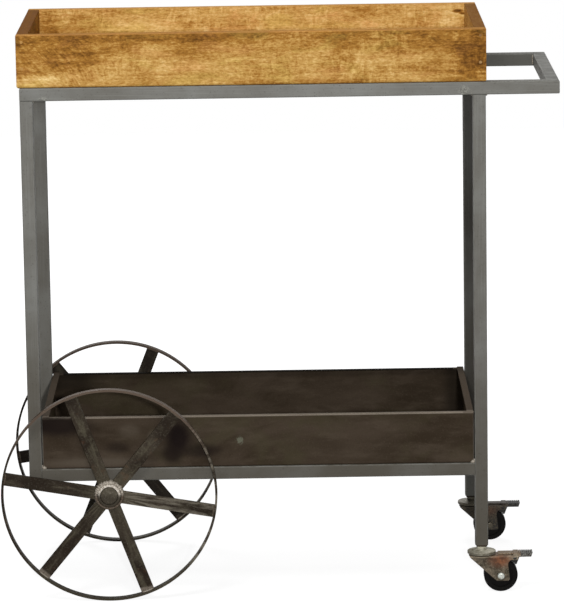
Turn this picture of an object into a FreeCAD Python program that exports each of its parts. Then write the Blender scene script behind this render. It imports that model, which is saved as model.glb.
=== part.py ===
import FreeCAD, Part
import math
import os
import Sketcher
from FreeCAD import Placement, Rotation, Vector

# Industrial bar cart. A welded frame of square tube carries a lift-off wooden tray on top and a
# folded sheet-metal bin below. One end rolls on two large spoked wheels on a fixed axle, the other
# on two swivel casters with a brake pedal. The front and back upper rails run on past the right
# legs and close into a handle.
# X runs along the cart with the handle at the positive end, the front is at negative Y, Z is up.
# The origin lies on the floor under the middle of the whole cart.

doc = FreeCAD.newDocument("BarCart")
sheet = doc.addObject("Spreadsheet::Sheet", "Sizes")

# Driving dimensions in millimetres, angles in degrees

sizes = [
    ("tube", 19, "outer width of the square tube"),
    ("tube_wall", 1.5, "wall of the square tube"),
    ("tube_corner", 2, "rounding of the tube's long edges"),
    ("frame_long", 675, "outer faces of the left legs to outer faces of the right legs"),
    ("frame_deep", 330, "front face to back face of the frame"),
    ("frame_top", 761, "floor to the top of the upper rails"),
    ("axle_drop", 18, "large wheels' axle below the underside of the lower rails"),
    ("handle_reach", 107, "right legs to the outer face of the handle"),
    ("plug_head", 3.2, "thickness of the head on each leg plug"),
    ("plug_margin", 1.2, "how far a plug head stays inside the tube's outline"),
    ("plug_arris", 2.2, "rounding of a plug head's lower edges"),
    ("plug_long", 28, "depth of a plug inside its leg"),
    ("plug_slip", 0.05, "gap between a plug and the inside of its leg"),
    ("board_thick", 17, "thickness of the tray's side boards"),
    ("board_tall", 77.5, "height of the tray's side boards"),
    ("over_left", 3.5, "tray past the frame at the left end"),
    ("over_right", 1, "tray past the right legs"),
    ("over_side", 1, "tray past the frame at the front and back"),
    ("floor_thick", 12, "thickness of the tray's floor planks"),
    ("tray_round", 4, "rounding of the tray's lower outside edges"),
    ("tray_arris", 1.2, "rounding of the tray's upper edges and corners"),
    ("dowel_radius", 2.2, "radius of the dowels in the tray's corners"),
    ("dowel_long", 40, "length of a tray dowel"),
    ("sheet_thick", 1.5, "sheet metal of the bin"),
    ("bin_gap", 1.5, "gap between the bin and the legs at each end"),
    ("bin_setback", 2.5, "bin behind the faces of the frame"),
    ("bin_tall", 76, "bin floor to the top of its front and back walls"),
    ("bin_lip", 10, "width of the turned-in lips"),
    ("bin_bend", 2, "outside radius of the folds"),
    ("wheel_radius", 159, "radius of a large wheel"),
    ("axle_inset", 117.5, "left face of the frame to the large wheels' axle"),
    ("wheel_set", 13, "face of the frame to the middle of a large wheel's rim"),
    ("rim_thick", 3.2, "flat bar of the rim"),
    ("rim_wide", 12.7, "width of the rim"),
    ("spoke_wide", 19, "width of a spoke's flat bar"),
    ("spoke_thick", 3.2, "thickness of a spoke's flat bar"),
    ("hub_radius", 17, "outside radius of the hub"),
    ("hub_flange", 19.3, "radius of the flange that the spokes are welded to"),
    ("hub_long", 17, "length of the hub"),
    ("hub_round", 1.2, "rounding of the hub's ends"),
    ("hub_gap", 3, "hub to the face of the frame"),
    ("axle_radius", 10, "radius of the large wheels' axle"),
    ("running_fit", 0.05, "radial clearance of a shaft that turns in its hole"),
    ("end_play", 0.3, "axial clearance of a part that turns"),
    ("cap_radius", 12.7, "radius of the cap on each axle end"),
    ("cap_room", 0.6, "gap round the cap in the hub's mouth"),
    ("cap_seat", 5, "depth of the hub's mouth"),
    ("cap_thick", 6.8, "thickness of the axle cap"),
    ("cap_round", 1.8, "rounding of the axle cap"),
    ("collar_radius", 14, "radius of the collar behind each hub"),
    ("collar_thick", 2.5, "thickness of that collar"),
    ("bracket_radius", 15, "half width of the tab that carries the axle"),
    ("bracket_thick", 6, "thickness of that tab"),
    ("caster_radius", 25, "radius of a caster's wheel"),
    ("caster_wide", 20, "width of the caster wheel's tread"),
    ("caster_boss_wide", 22, "width of the caster wheel at its bore"),
    ("caster_boss_radius", 6.5, "radius of that boss"),
    ("caster_web_wide", 13, "width of the caster wheel between boss and tread"),
    ("caster_tread_deep", 7, "depth of the tread ring"),
    ("tread_round", 3, "rounding of the tread"),
    ("caster_trail", 28, "caster wheel's axle behind the stem"),
    ("fork_room", 0.5, "gap between the fork and the caster wheel's boss, each side"),
    ("fork_sheet", 2, "sheet metal of the fork"),
    ("fork_rise", 3.5, "gap between the tread and the fork's top"),
    ("fork_round", 2.5, "outside fold of the fork"),
    ("fork_nose", 18, "fork's front corner ahead of the stem"),
    ("fork_drop", 7.5, "cheeks' lower edge below the wheel's axle"),
    ("fork_heel", 6.5, "cheeks' lower front corner ahead of the wheel's axle"),
    ("fork_heel_round", 9, "rounding of that corner"),
    ("fork_toe", 13.2, "cheeks' lower rear corner behind the wheel's axle"),
    ("fork_toe_round", 3, "rounding of that corner"),
    ("fork_waist", 9.5, "cheeks' rear edge behind the wheel's axle where it turns into the tail"),
    ("fork_waist_round", 7, "rounding of that turn"),
    ("fork_tail", 25.8, "cheeks' tail behind the wheel's axle"),
    ("fork_tail_deep", 6.5, "height of that tail"),
    ("fork_tail_round", 3, "rounding of the tail's lower corner"),
    ("fork_plate_radius", 19, "radius of the round plate on the fork"),
    ("fork_slot", 16, "top plate's rear edge behind the wheel's axle"),
    ("ball_radius", 2, "radius of a bearing ball"),
    ("ball_circle", 13, "radius of the ring of balls"),
    ("ball_play", 0.1, "gap between the balls and the cap above them"),
    ("stem_radius", 5, "radius of the caster's stem"),
    ("stem_nut", 6, "half width of the nut on the stem"),
    ("stem_nut_tall", 2.8, "height of that nut"),
    ("stem_gap", 0.3, "gap between the fork and the head under it"),
    ("stem_head", 2, "thickness of the head under the fork"),
    ("stem_head_radius", 8, "radius of that head"),
    ("dome_radius", 21, "radius of the domed cap over the bearing"),
    ("dome_crown", 5.4, "height of the dome above the balls"),
    ("dome_top_radius", 6.8, "radius of the dome's flat top"),
    ("dome_shoulder_radius", 11.5, "radius where the dome's neck meets its brim"),
    ("dome_shoulder", 3, "height of that shoulder above the balls"),
    ("dome_rim", 1.6, "height of the dome's edge above the balls"),
    ("dome_skirt", 2, "depth of the dome's skirt below the top of the balls"),
    ("dome_wall", 1.6, "wall of the dome's skirt"),
    ("bolt_radius", 3, "radius of the caster wheel's axle bolt"),
    ("bolt_head_radius", 5.2, "radius of that bolt's head"),
    ("bolt_head", 3.2, "thickness of that bolt's head"),
    ("bolt_head_round", 2.2, "rounding of that bolt's head"),
    ("nut_half", 5, "half of the bolt's nut across its flats"),
    ("nut_thick", 5, "thickness of the bolt's nut"),
    ("pivot_back", 20.5, "brake pivot behind the wheel's axle"),
    ("pivot_rise", 27.5, "brake pivot above the wheel's axle"),
    ("pin_radius", 1.6, "radius of the brake pivot pin"),
    ("pin_head_radius", 2.8, "radius of that pin's heads"),
    ("pin_head", 1, "thickness of those heads"),
    ("lever_hub", 3.4, "radius of the brake lever round its pin"),
    ("lever_wide", 20, "width of the brake lever"),
    ("lever_thick", 6.2, "thickness of the pedal"),
    ("lever_front", 2, "pedal ahead of its pivot"),
    ("lever_long", 26.5, "pedal behind its pivot"),
    ("lever_slant", 2.2, "how far the pedal's end slants in towards its underside"),
    ("arm_thick", 2.2, "thickness of the lever's arm over the fork"),
    ("arm_wide", 14, "width of that arm"),
    ("arm_lift", 0.5, "gap between the fork's plate and the arm"),
    ("arm_gap", 3, "gap between the domed cap and the arm's end"),
    ("shoe_back", 1.5, "brake shoe's tip behind the pivot"),
    ("shoe_drop", 9.3, "brake shoe's tip below the pivot"),
    ("shoe_radius", 1.8, "rounding of the brake shoe's tip"),
    ("shoe_ahead", 9.5, "brake shoe's front end ahead of the pivot"),
    ("shoe_brow", 2.7, "upper corner of that end below the pivot"),
    ("shoe_chin", 6.5, "lower corner of that end below the pivot"),
    ("shoe_bend", 3, "bend of the shoe's underside ahead of the pivot"),
    ("shoe_bend_drop", 8, "that bend below the pivot"),
    ("shoe_heel", 7, "brake shoe's rear end behind the pivot"),
    ("shoe_gap", 1.2, "gap between the tread and the shoe's hollow underside"),
    ("rib_wide", 1.3, "width of the grooves across the pedal"),
    ("rib_deep", 1.2, "depth of those grooves"),
    ("rib_pitch", 2.9, "spacing of those grooves"),
    ("rib_start", 5.5, "first groove behind the pivot"),
    ("overrun", 1, "how far a cutting shape runs past the face that it cuts"),
]

angles = [
    ("front_spoke_angle", 50.3, "turn of the front wheel's first spoke above the horizontal"),
    ("back_spoke_angle", 8.5, "turn of the back wheel's first spoke above the horizontal"),
]

spokeCount = 6
plankCount = 3
ballCount = 8
grooveCount = 7
nutSides = 6
dowelHeightShares = (0.37, 0.87)

for row, (name, value, note) in enumerate(sizes + angles, 1):
    sheet.set(f"A{row}", note)
    sheet.set(f"B{row}", str(value))
    sheet.setAlias(f"B{row}", name)
doc.recompute()


# A size keeps its number beside the sheet formula that drives it

class Size:
    def __init__(self, value, text):
        self.value = value
        self.text = text

    def __add__(self, other):
        return Size(self.value + numberOf(other), f"({self.text} + {textOf(other)})")

    def __radd__(self, other):
        return Size(numberOf(other) + self.value, f"({textOf(other)} + {self.text})")

    def __sub__(self, other):
        return Size(self.value - numberOf(other), f"({self.text} - {textOf(other)})")

    def __mul__(self, other):
        return Size(self.value * numberOf(other), f"({self.text} * {textOf(other)})")

    def __rmul__(self, other):
        return Size(numberOf(other) * self.value, f"({textOf(other)} * {self.text})")

    def __truediv__(self, other):
        return Size(self.value / numberOf(other), f"({self.text} / {textOf(other)})")

    def __neg__(self):
        return Size(-self.value, f"(0 - {self.text})")


def numberOf(item):
    return item.value if isinstance(item, Size) else item


def textOf(item):
    return item.text if isinstance(item, Size) else str(item)


class Cells:
    def __getattr__(self, name):
        return Size(float(getattr(sheet, name)), f"Sizes.{name}")


at = Cells()
pieces = []


# Helpers for bodies, sketches and features

def newBody(name):
    body = doc.addObject("PartDesign::Body", name)
    body.Label = name
    return body


def originItem(body, role):
    return next(item for item in body.Origin.OriginFeatures if item.Role == role)


def newSketch(body, plane, lift=None):
    sketch = body.newObject("Sketcher::SketchObject", f"{body.Name}_sketch")
    sketch.AttachmentSupport = [(originItem(body, plane), "")]
    sketch.MapMode = "FlatFace"
    if lift is not None:
        sketch.setExpression("AttachmentOffset.Base.z", lift.text)
    return sketch


def pin(sketch, geometry, point, across, along):
    # Holds one point of the sketch at the given distances from the sketch's origin
    for kind, axis, distance in (("DistanceX", -2, across), ("DistanceY", -1, along)):
        if numberOf(distance) == 0:
            sketch.addConstraint(Sketcher.Constraint("PointOnObject", geometry, point, axis))
        else:
            index = sketch.addConstraint(
                Sketcher.Constraint(kind, -1, 1, geometry, point, numberOf(distance)))
            sketch.setExpression(f"Constraints[{index}]", textOf(distance))


def drive(sketch, kind, *places, size):
    index = sketch.addConstraint(Sketcher.Constraint(kind, *places, size.value))
    sketch.setExpression(f"Constraints[{index}]", size.text)


def outline(sketch, corners):
    # A closed outline of straight lines through the given corners
    spots = [Vector(numberOf(across), numberOf(along), 0) for across, along in corners]
    first = sketch.GeometryCount
    for start, end in zip(spots, spots[1:] + spots[:1]):
        sketch.addGeometry(Part.LineSegment(start, end), False)
    last = sketch.GeometryCount - 1
    for line in range(first, last):
        sketch.addConstraint(Sketcher.Constraint("Coincident", line, 2, line + 1, 1))
    sketch.addConstraint(Sketcher.Constraint("Coincident", last, 2, first, 1))
    for line, (across, along) in enumerate(corners, first):
        pin(sketch, line, 1, across, along)


def rectangle(sketch, left, right, low, high):
    outline(sketch, [(left, low), (right, low), (right, high), (left, high)])


def centredRectangle(sketch, wide, tall):
    rectangle(sketch, -wide / 2, wide / 2, -tall / 2, tall / 2)


def circle(sketch, across, along, radius):
    centre = Vector(numberOf(across), numberOf(along), 0)
    index = sketch.addGeometry(Part.Circle(centre, Vector(0, 0, 1), radius.value), False)
    pin(sketch, index, 3, across, along)
    drive(sketch, "Radius", index, size=radius)


def polygonRound(sketch, half, sides, across=0, along=0):
    # A regular polygon round the given point, half across its flats
    centre = Vector(numberOf(across), numberOf(along), 0)
    reach = half.value / math.cos(math.pi / sides)
    turns = [math.pi * (2 * corner + 1) / sides for corner in range(sides)]
    spots = [centre + Vector(reach * math.cos(turn), reach * math.sin(turn), 0) for turn in turns]
    for start, end in zip(spots, spots[1:] + spots[:1]):
        sketch.addGeometry(Part.LineSegment(start, end), False)
    for line in range(sides):
        sketch.addConstraint(Sketcher.Constraint("Coincident", line, 2, (line + 1) % sides, 1))
    guide = sketch.addGeometry(Part.Circle(centre, Vector(0, 0, 1), half.value), True)
    pin(sketch, guide, 3, across, along)
    for line in range(sides):
        sketch.addConstraint(Sketcher.Constraint("Tangent", line, guide))
    for line in range(sides - 1):
        sketch.addConstraint(Sketcher.Constraint("Equal", line, line + 1))
    sketch.addConstraint(Sketcher.Constraint("Vertical", sides - 1))
    drive(sketch, "Radius", guide, size=half)


def pad(body, sketch, length, symmetric=False, flip=False):
    feature = body.newObject("PartDesign::Pad", f"{body.Name}_pad")
    feature.Profile = sketch
    feature.setExpression("Length", length.text)
    feature.SideType = "Symmetric" if symmetric else "One side"
    feature.Reversed = flip
    sketch.Visibility = False
    doc.recompute()
    return feature


def pocket(body, sketch, length=None, symmetric=False, flip=False):
    before = body.Shape.Volume
    feature = body.newObject("PartDesign::Pocket", f"{body.Name}_pocket")
    feature.Profile = sketch
    feature.SideType = "Symmetric" if symmetric else "One side"
    feature.Reversed = flip
    if length is None:
        feature.Type = "ThroughAll"
    else:
        feature.setExpression("Length", length.text)
    sketch.Visibility = False
    doc.recompute()
    if not body.Shape.Volume < before:
        raise RuntimeError(f"{feature.Label} removed nothing")
    return feature


def revolve(body, sketch, axis="V_Axis"):
    feature = body.newObject("PartDesign::Revolution", f"{body.Name}_turned")
    feature.Profile = sketch
    feature.ReferenceAxis = (sketch, [axis])
    sketch.Visibility = False
    doc.recompute()
    return feature


def edgeNames(shape, wanted):
    # Names of the edges whose middle point and direction satisfy the given test
    names = []
    for number, edge in enumerate(shape.Edges, 1):
        middle = edge.valueAt((edge.FirstParameter + edge.LastParameter) / 2)
        ends = edge.Vertexes
        run = (ends[-1].Point - ends[0].Point) if len(ends) > 1 else Vector(0, 0, 0)
        if wanted(middle, run):
            names.append(f"Edge{number}")
    return names


def soften(body, radius, wanted, kind="Fillet"):
    base = body.Tip
    names = edgeNames(base.Shape, wanted)
    if not names:
        raise RuntimeError(f"{body.Name} has no edge to round")
    feature = body.newObject(f"PartDesign::{kind}", f"{body.Name}_{kind.lower()}")
    feature.Base = (base, names)
    feature.setExpression("Radius" if kind == "Fillet" else "Size", radius.text)
    doc.recompute()
    return feature


def near(one, other):
    return abs(one - numberOf(other)) < at.running_fit.value / 2


def place(item, across, along, height, rotation=Rotation()):
    spot = Vector(numberOf(across), numberOf(along), numberOf(height))
    item.Placement = Placement(spot, rotation)
    for letter, distance in zip("xyz", (across, along, height)):
        item.setExpression(f"Placement.Base.{letter}", textOf(distance))


def keep(item):
    pieces.append(item)
    return item


def group(name, members):
    # Identical pieces share one node and stay separate solids
    bundle = doc.addObject("Part::Compound", name)
    bundle.Label = name
    bundle.Links = members
    return keep(bundle)


# Places on the cart that several pieces share

wholeLong = at.wheel_radius - at.axle_inset + at.frame_long + at.handle_reach
leftFace = at.wheel_radius - at.axle_inset - wholeLong / 2
rightFace = leftFace + at.frame_long
handleEnd = rightFace + at.handle_reach
leftTube = leftFace + at.tube / 2
rightTube = rightFace - at.tube / 2
handleTube = handleEnd - at.tube / 2
frontFace = -at.frame_deep / 2
frontTube = frontFace + at.tube / 2
backTube = -frontTube
topTube = at.frame_top - at.tube / 2
lowerEdge = at.wheel_radius + at.axle_drop
lowerTube = lowerEdge + at.tube / 2
lowerTop = lowerEdge + at.tube
axleX = leftFace + at.axle_inset
forkTop = 2 * at.caster_radius + at.fork_rise + at.fork_sheet
ballTop = forkTop + 2 * at.ball_radius
domeUnder = ballTop + at.ball_play
domeTop = domeUnder + at.dome_crown
rightFoot = domeTop + at.stem_nut_tall + at.plug_head
alongX = Vector(1, 0, 0)
alongY = Vector(0, 1, 0)
upright = Vector(0, 0, 1)


# Frame of square tube

def squareTube(name, length, base, run, inward, mitred=False):
    # The tube runs from its base along run; a mitred tube is shorter on its inward side
    body = newBody(name)
    section = newSketch(body, "XY_Plane")
    centredRectangle(section, at.tube, at.tube)
    pad(body, section, length)
    soften(body, at.tube_corner, lambda middle, way: abs(way.z) > at.tube.value * 2)
    bore = newSketch(body, "XY_Plane")
    inner = at.tube - 2 * at.tube_wall
    centredRectangle(bore, inner, inner)
    pocket(body, bore, symmetric=True)
    if mitred:
        cuts = newSketch(body, "YZ_Plane")
        half = at.tube / 2
        wide = half + at.overrun
        outline(cuts, [(-wide, -at.overrun), (wide, at.tube + at.overrun), (wide, -at.overrun)])
        outline(cuts, [(-wide, length + at.overrun), (wide, length + at.overrun),
                       (wide, length - at.tube - at.overrun)])
        pocket(body, cuts, symmetric=True)
    place(body, *base, Rotation(inward.cross(run), inward, run, "ZYX"))
    return keep(body)


def buildFrame():
    legTop = at.frame_top - at.tube
    for side, along in (("front", frontTube), ("back", backTube)):
        squareTube(f"leg_{side}_left", legTop - lowerEdge,
                   (leftTube, along, lowerEdge), upright, alongY)
        squareTube(f"leg_{side}_right", legTop - rightFoot,
                   (rightTube, along, rightFoot), upright, alongY)
    loopLong = at.frame_long + at.handle_reach
    squareTube("top_rail_front", loopLong, (leftFace, frontTube, topTube), alongX, alongY, True)
    squareTube("top_rail_back", loopLong, (leftFace, backTube, topTube), alongX, -alongY, True)
    squareTube("top_rail_left", at.frame_deep, (leftTube, frontFace, topTube), alongY, alongX, True)
    squareTube("handle_bar", at.frame_deep, (handleTube, frontFace, topTube), alongY, -alongX, True)
    innerLong = at.frame_long - 2 * at.tube
    innerDeep = at.frame_deep - 2 * at.tube
    innerFront = frontFace + at.tube
    squareTube("top_rail_right", innerDeep, (rightTube, innerFront, topTube), alongY, alongX)
    for side, along in (("front", frontTube), ("back", backTube)):
        squareTube(f"lower_rail_{side}", innerLong,
                   (leftFace + at.tube, along, lowerTube), alongX, alongY)
    for side, across in (("left", leftTube), ("right", rightTube)):
        squareTube(f"lower_rail_{side}", innerDeep, (across, innerFront, lowerTube), alongY, alongX)


# Plugs in the lower ends of the legs

def legPlug(name, across, along, height, bore=None):
    body = newBody(name)
    head = newSketch(body, "XY_Plane")
    headWide = at.tube - 2 * at.plug_margin
    centredRectangle(head, headWide, headWide)
    pad(body, head, at.plug_head, flip=True)
    shank = newSketch(body, "XY_Plane")
    shankWide = at.tube - 2 * at.tube_wall - 2 * at.plug_slip
    centredRectangle(shank, shankWide, shankWide)
    pad(body, shank, at.plug_long)
    soften(body, at.plug_arris, lambda middle, way: near(middle.z, -at.plug_head))
    if bore is not None:
        hole = newSketch(body, "XY_Plane")
        circle(hole, 0, 0, bore)
        pocket(body, hole, symmetric=True)
    place(body, across, along, height)
    return body


def buildPlugs():
    members = [legPlug(f"plug_{side}", leftTube, along, lowerEdge)
               for side, along in (("front", frontTube), ("back", backTube))]
    group("leg_plugs", members)


# Lift-off tray of thick boards

trayLeft = leftFace - at.over_left
trayRight = rightFace + at.over_right
trayFront = frontFace - at.over_side
trayLong = trayRight - trayLeft
trayDeep = at.frame_deep + 2 * at.over_side
trayMid = (trayLeft + trayRight) / 2


def dowelPlaces():
    # Across and height of each dowel, two at every corner of the tray
    for across in (trayLeft + at.board_thick / 2, trayRight - at.board_thick / 2):
        for share in dowelHeightShares:
            yield across, share * at.board_tall


def sideBoard(name, along, rotation):
    # A long board whose local front is its outside face; dowel holes go right through it
    body = newBody(name)
    section = newSketch(body, "XY_Plane")
    centredRectangle(section, trayLong, at.board_thick)
    pad(body, section, at.board_tall)
    outside = -at.board_thick / 2
    soften(body, at.tray_round, lambda middle, way: near(middle.z, 0) and (
        near(middle.y, outside) or abs(way.y) > at.board_thick.value / 2))
    soften(body, at.tray_arris, lambda middle, way: near(middle.z, at.board_tall))
    holes = newSketch(body, "XZ_Plane")
    for across, height in dowelPlaces():
        shift = across - trayMid if rotation.Angle == 0 else trayMid - across
        circle(holes, shift, height, at.dowel_radius)
    pocket(body, holes, symmetric=True)
    place(body, trayMid, along, at.frame_top, rotation)
    return keep(body)


def endBoard(name, across, rotation):
    # A short board between the long ones; its local left is its outside face
    body = newBody(name)
    inner = trayDeep - 2 * at.board_thick
    section = newSketch(body, "XY_Plane")
    centredRectangle(section, at.board_thick, inner)
    pad(body, section, at.board_tall)
    outside = -at.board_thick / 2
    soften(body, at.tray_round,
           lambda middle, way: near(middle.z, 0) and near(middle.x, outside))
    soften(body, at.tray_arris,
           lambda middle, way: near(middle.z, at.board_tall) and abs(way.y) > abs(way.x))
    for side in (-1, 1):
        holes = newSketch(body, "XZ_Plane", side * inner / 2)
        for share in dowelHeightShares:
            circle(holes, 0, share * at.board_tall, at.dowel_radius)
        pocket(body, holes, at.dowel_long - at.board_thick, flip=side < 0)
    place(body, across, 0, at.frame_top, rotation)
    return keep(body)


def buildTray():
    halfTurn = Rotation(upright, 180)
    boardFront = trayFront + at.board_thick / 2
    sideBoard("tray_board_front", boardFront, Rotation())
    sideBoard("tray_board_back", -boardFront, halfTurn)
    endBoard("tray_board_left", trayLeft + at.board_thick / 2, Rotation())
    endBoard("tray_board_right", trayRight - at.board_thick / 2, halfTurn)
    plankLong = trayLong - 2 * at.board_thick
    plankDeep = (trayDeep - 2 * at.board_thick) / plankCount
    for number in range(plankCount):
        body = newBody(f"tray_floor_plank_{number + 1}")
        section = newSketch(body, "XY_Plane")
        centredRectangle(section, plankLong, plankDeep)
        pad(body, section, at.floor_thick)
        along = trayFront + at.board_thick + (number + 1 / 2) * plankDeep
        place(body, trayMid, along, at.frame_top)
        keep(body)
    members = []
    for facing in (1, -1):
        for across, height in dowelPlaces():
            rod = doc.addObject("Part::Cylinder", "dowel")
            rod.setExpression("Radius", at.dowel_radius.text)
            rod.setExpression("Height", at.dowel_long.text)
            place(rod, across, facing * trayFront, at.frame_top + height,
                  Rotation(alongX, -90 * facing))
            members.append(rod)
    group("tray_dowels", members)


# Folded sheet-metal bin on the lower rails

def buildBin():
    body = newBody("bin_pan")
    long = at.frame_long - 2 * at.tube - 2 * at.bin_gap
    deep = at.frame_deep - 2 * at.bin_setback
    innerLong = long - 2 * at.sheet_thick
    innerDeep = deep - 2 * at.sheet_thick
    floor = newSketch(body, "XY_Plane")
    centredRectangle(floor, long, deep)
    pad(body, floor, at.bin_tall)
    soften(body, at.bin_bend, lambda middle, way: abs(way.z) > at.bin_tall.value / 2
           or near(middle.z, 0))
    hollow = newSketch(body, "XY_Plane", at.sheet_thick)
    centredRectangle(hollow, innerLong, innerDeep)
    pocket(body, hollow, at.bin_tall, flip=True)
    # Front and back lips fold in level with the walls
    for side in (-1, 1):
        lip = newSketch(body, "XY_Plane", at.bin_tall - at.sheet_thick)
        rectangle(lip, -innerLong / 2, innerLong / 2,
                  side * innerDeep / 2, side * (deep / 2 - at.bin_lip))
        pad(body, lip, at.sheet_thick)
    # Side lips lie over them
    for side in (-1, 1):
        lip = newSketch(body, "XY_Plane", at.bin_tall)
        rectangle(lip, side * long / 2, side * (long / 2 - at.bin_lip),
                  at.bin_bend - deep / 2, deep / 2 - at.bin_bend)
        pad(body, lip, at.sheet_thick)
    soften(body, at.bin_bend / 2, lambda middle, way: near(middle.z, at.bin_tall)
           and near(abs(middle.y), deep / 2) and abs(way.x) > at.bin_lip.value)
    soften(body, at.bin_bend / 2, lambda middle, way: near(middle.z, at.bin_tall + at.sheet_thick)
           and near(abs(middle.x), long / 2))
    place(body, (leftFace + rightFace) / 2, 0, lowerTop)
    keep(body)


# Large wheels, each a rim, six flat spokes and a hub on a fixed axle

wheelMiddle = frontFace - at.wheel_set
hubInner = at.wheel_set - at.hub_gap
hubOuter = hubInner - at.hub_long
axleEnd = wheelMiddle + hubOuter + at.cap_seat - at.end_play


def wheelPiece(name, side, turn=None):
    # A wheel's own frame has its axis along Y and its outside face at negative Y
    body = newBody(name)
    rotation = Rotation()
    if turn is not None:
        rotation = Rotation(-alongY, turn.value)
    elif side < 0:
        rotation = Rotation(upright, 180)
    place(body, axleX, side * wheelMiddle, at.wheel_radius, rotation)
    if turn is not None:
        body.setExpression("Placement.Rotation.Angle", turn.text)
    return keep(body)


def rim(name, side):
    body = wheelPiece(name, side)
    section = newSketch(body, "XY_Plane")
    rectangle(section, at.wheel_radius - at.rim_thick, at.wheel_radius,
              -at.rim_wide / 2, at.rim_wide / 2)
    revolve(body, section)


def hub(name, side):
    # A barrel with a flange as thick as the spokes and a mouth for the axle's cap
    body = wheelPiece(name, side)
    bore = at.axle_radius + at.running_fit
    mouth = at.cap_radius + at.cap_room
    flange = at.spoke_thick / 2
    section = newSketch(body, "XY_Plane")
    outline(section, [(bore, hubInner), (at.hub_radius, hubInner), (at.hub_radius, flange),
                      (at.hub_flange, flange), (at.hub_flange, -flange),
                      (at.hub_radius, -flange), (at.hub_radius, hubOuter), (mouth, hubOuter),
                      (mouth, hubOuter + at.cap_seat), (bore, hubOuter + at.cap_seat)])
    revolve(body, section)
    soften(body, at.hub_round, lambda middle, way: (
        near(middle.y, hubInner) or near(middle.y, hubOuter))
        and near(math.hypot(middle.x, middle.z), at.hub_radius))


def spoke(name, side, turn):
    # Flat bar whose root is cut to the hub's flange and whose tip is cut to the inside of the rim
    body = wheelPiece(name, side, turn)
    sketch = newSketch(body, "XZ_Plane")
    half = at.spoke_wide / 2
    root = at.hub_flange
    tip = at.wheel_radius - at.rim_thick
    rise = half.value
    rootX = math.sqrt(root.value ** 2 - rise ** 2)
    tipX = math.sqrt(tip.value ** 2 - rise ** 2)
    sketch.addGeometry(Part.LineSegment(Vector(rootX, -rise, 0), Vector(tipX, -rise, 0)), False)
    sketch.addGeometry(Part.LineSegment(Vector(rootX, rise, 0), Vector(tipX, rise, 0)), False)
    rootTurn = math.asin(rise / root.value)
    tipTurn = math.asin(rise / tip.value)
    whole = Part.Circle(Vector(0, 0, 0), upright, tip.value)
    tipArc = sketch.addGeometry(Part.ArcOfCircle(whole, -tipTurn, tipTurn), False)
    whole = Part.Circle(Vector(0, 0, 0), upright, root.value)
    rootArc = sketch.addGeometry(Part.ArcOfCircle(whole, -rootTurn, rootTurn), False)
    for arc, end in ((tipArc, 2), (rootArc, 1)):
        sketch.addConstraint(Sketcher.Constraint("Coincident", arc, 3, -1, 1))
        sketch.addConstraint(Sketcher.Constraint("Coincident", arc, 1, 0, end))
        sketch.addConstraint(Sketcher.Constraint("Coincident", arc, 2, 1, end))
    for line in (0, 1):
        sketch.addConstraint(Sketcher.Constraint("Horizontal", line))
    drive(sketch, "Radius", tipArc, size=tip)
    drive(sketch, "Radius", rootArc, size=root)
    drive(sketch, "DistanceY", -1, 1, 0, 1, size=-half)
    drive(sketch, "DistanceY", -1, 1, 1, 1, size=half)
    pad(body, sketch, at.spoke_thick, symmetric=True)


def axleRing(name, outer, thick, along, side):
    body = newBody(name)
    section = newSketch(body, "XY_Plane")
    rectangle(section, at.axle_radius, outer, 0, thick)
    revolve(body, section)
    place(body, axleX, side * along, at.wheel_radius,
          Rotation() if side > 0 else Rotation(upright, 180))
    return body


def axleCap(name, side):
    # The cap is welded to the axle's end and keeps the wheel on
    body = newBody(name)
    section = newSketch(body, "XY_Plane")
    rectangle(section, 0, at.cap_radius, -at.cap_thick, 0)
    revolve(body, section)
    soften(body, at.cap_round, lambda middle, way: near(middle.y, -at.cap_thick)
           and math.hypot(middle.x, middle.z) > at.cap_radius.value / 2)
    place(body, axleX, side * axleEnd, at.wheel_radius,
          Rotation() if side > 0 else Rotation(upright, 180))
    return body


def axleBracket(name, along):
    # A tab welded under the lower rail, rounded about the axle that it holds
    body = newBody(name)
    web = newSketch(body, "XZ_Plane")
    rectangle(web, -at.bracket_radius, at.bracket_radius, 0, at.axle_drop)
    pad(body, web, at.bracket_thick, symmetric=True)
    foot = newSketch(body, "XZ_Plane")
    circle(foot, 0, 0, at.bracket_radius)
    pad(body, foot, at.bracket_thick, symmetric=True)
    hole = newSketch(body, "XZ_Plane")
    circle(hole, 0, 0, at.axle_radius)
    pocket(body, hole, symmetric=True)
    place(body, axleX, along, at.wheel_radius)
    keep(body)


def buildWheels():
    axle = doc.addObject("Part::Cylinder", "axle")
    axle.Label = "axle"
    axle.setExpression("Radius", at.axle_radius.text)
    axle.setExpression("Height", (-2 * axleEnd).text)
    place(axle, axleX, axleEnd, at.wheel_radius, Rotation(alongX, -90))
    keep(axle)
    axleBracket("axle_bracket_front", frontTube)
    axleBracket("axle_bracket_back", backTube)
    collarAt = frontFace - at.hub_gap + at.end_play
    sides = (("front", 1, at.front_spoke_angle), ("back", -1, at.back_spoke_angle))
    group("axle_collars", [axleRing(f"collar_{end}", at.collar_radius, at.collar_thick, collarAt, side)
                           for end, side, turn in sides])
    group("axle_caps", [axleCap(f"cap_{end}", side) for end, side, turn in sides])
    for end, side, turn in sides:
        rim(f"{end}_wheel_rim", side)
        hub(f"{end}_wheel_hub", side)
        for number in range(spokeCount):
            spoke(f"{end}_wheel_spoke_{number + 1}", side, turn + number * 360 / spokeCount)


# Swivel casters with a brake pedal under the right legs

forkInner = at.caster_boss_wide + 2 * at.fork_room
forkOuter = forkInner + 2 * at.fork_sheet
wheelX = at.caster_trail
pivotX = at.caster_trail + at.pivot_back
pivotZ = at.caster_radius + at.pivot_rise


def casterBody(name, along):
    # A caster's own frame stands on the floor under its stem
    body = newBody(name)
    place(body, rightTube, along, 0)
    return keep(body)


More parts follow.
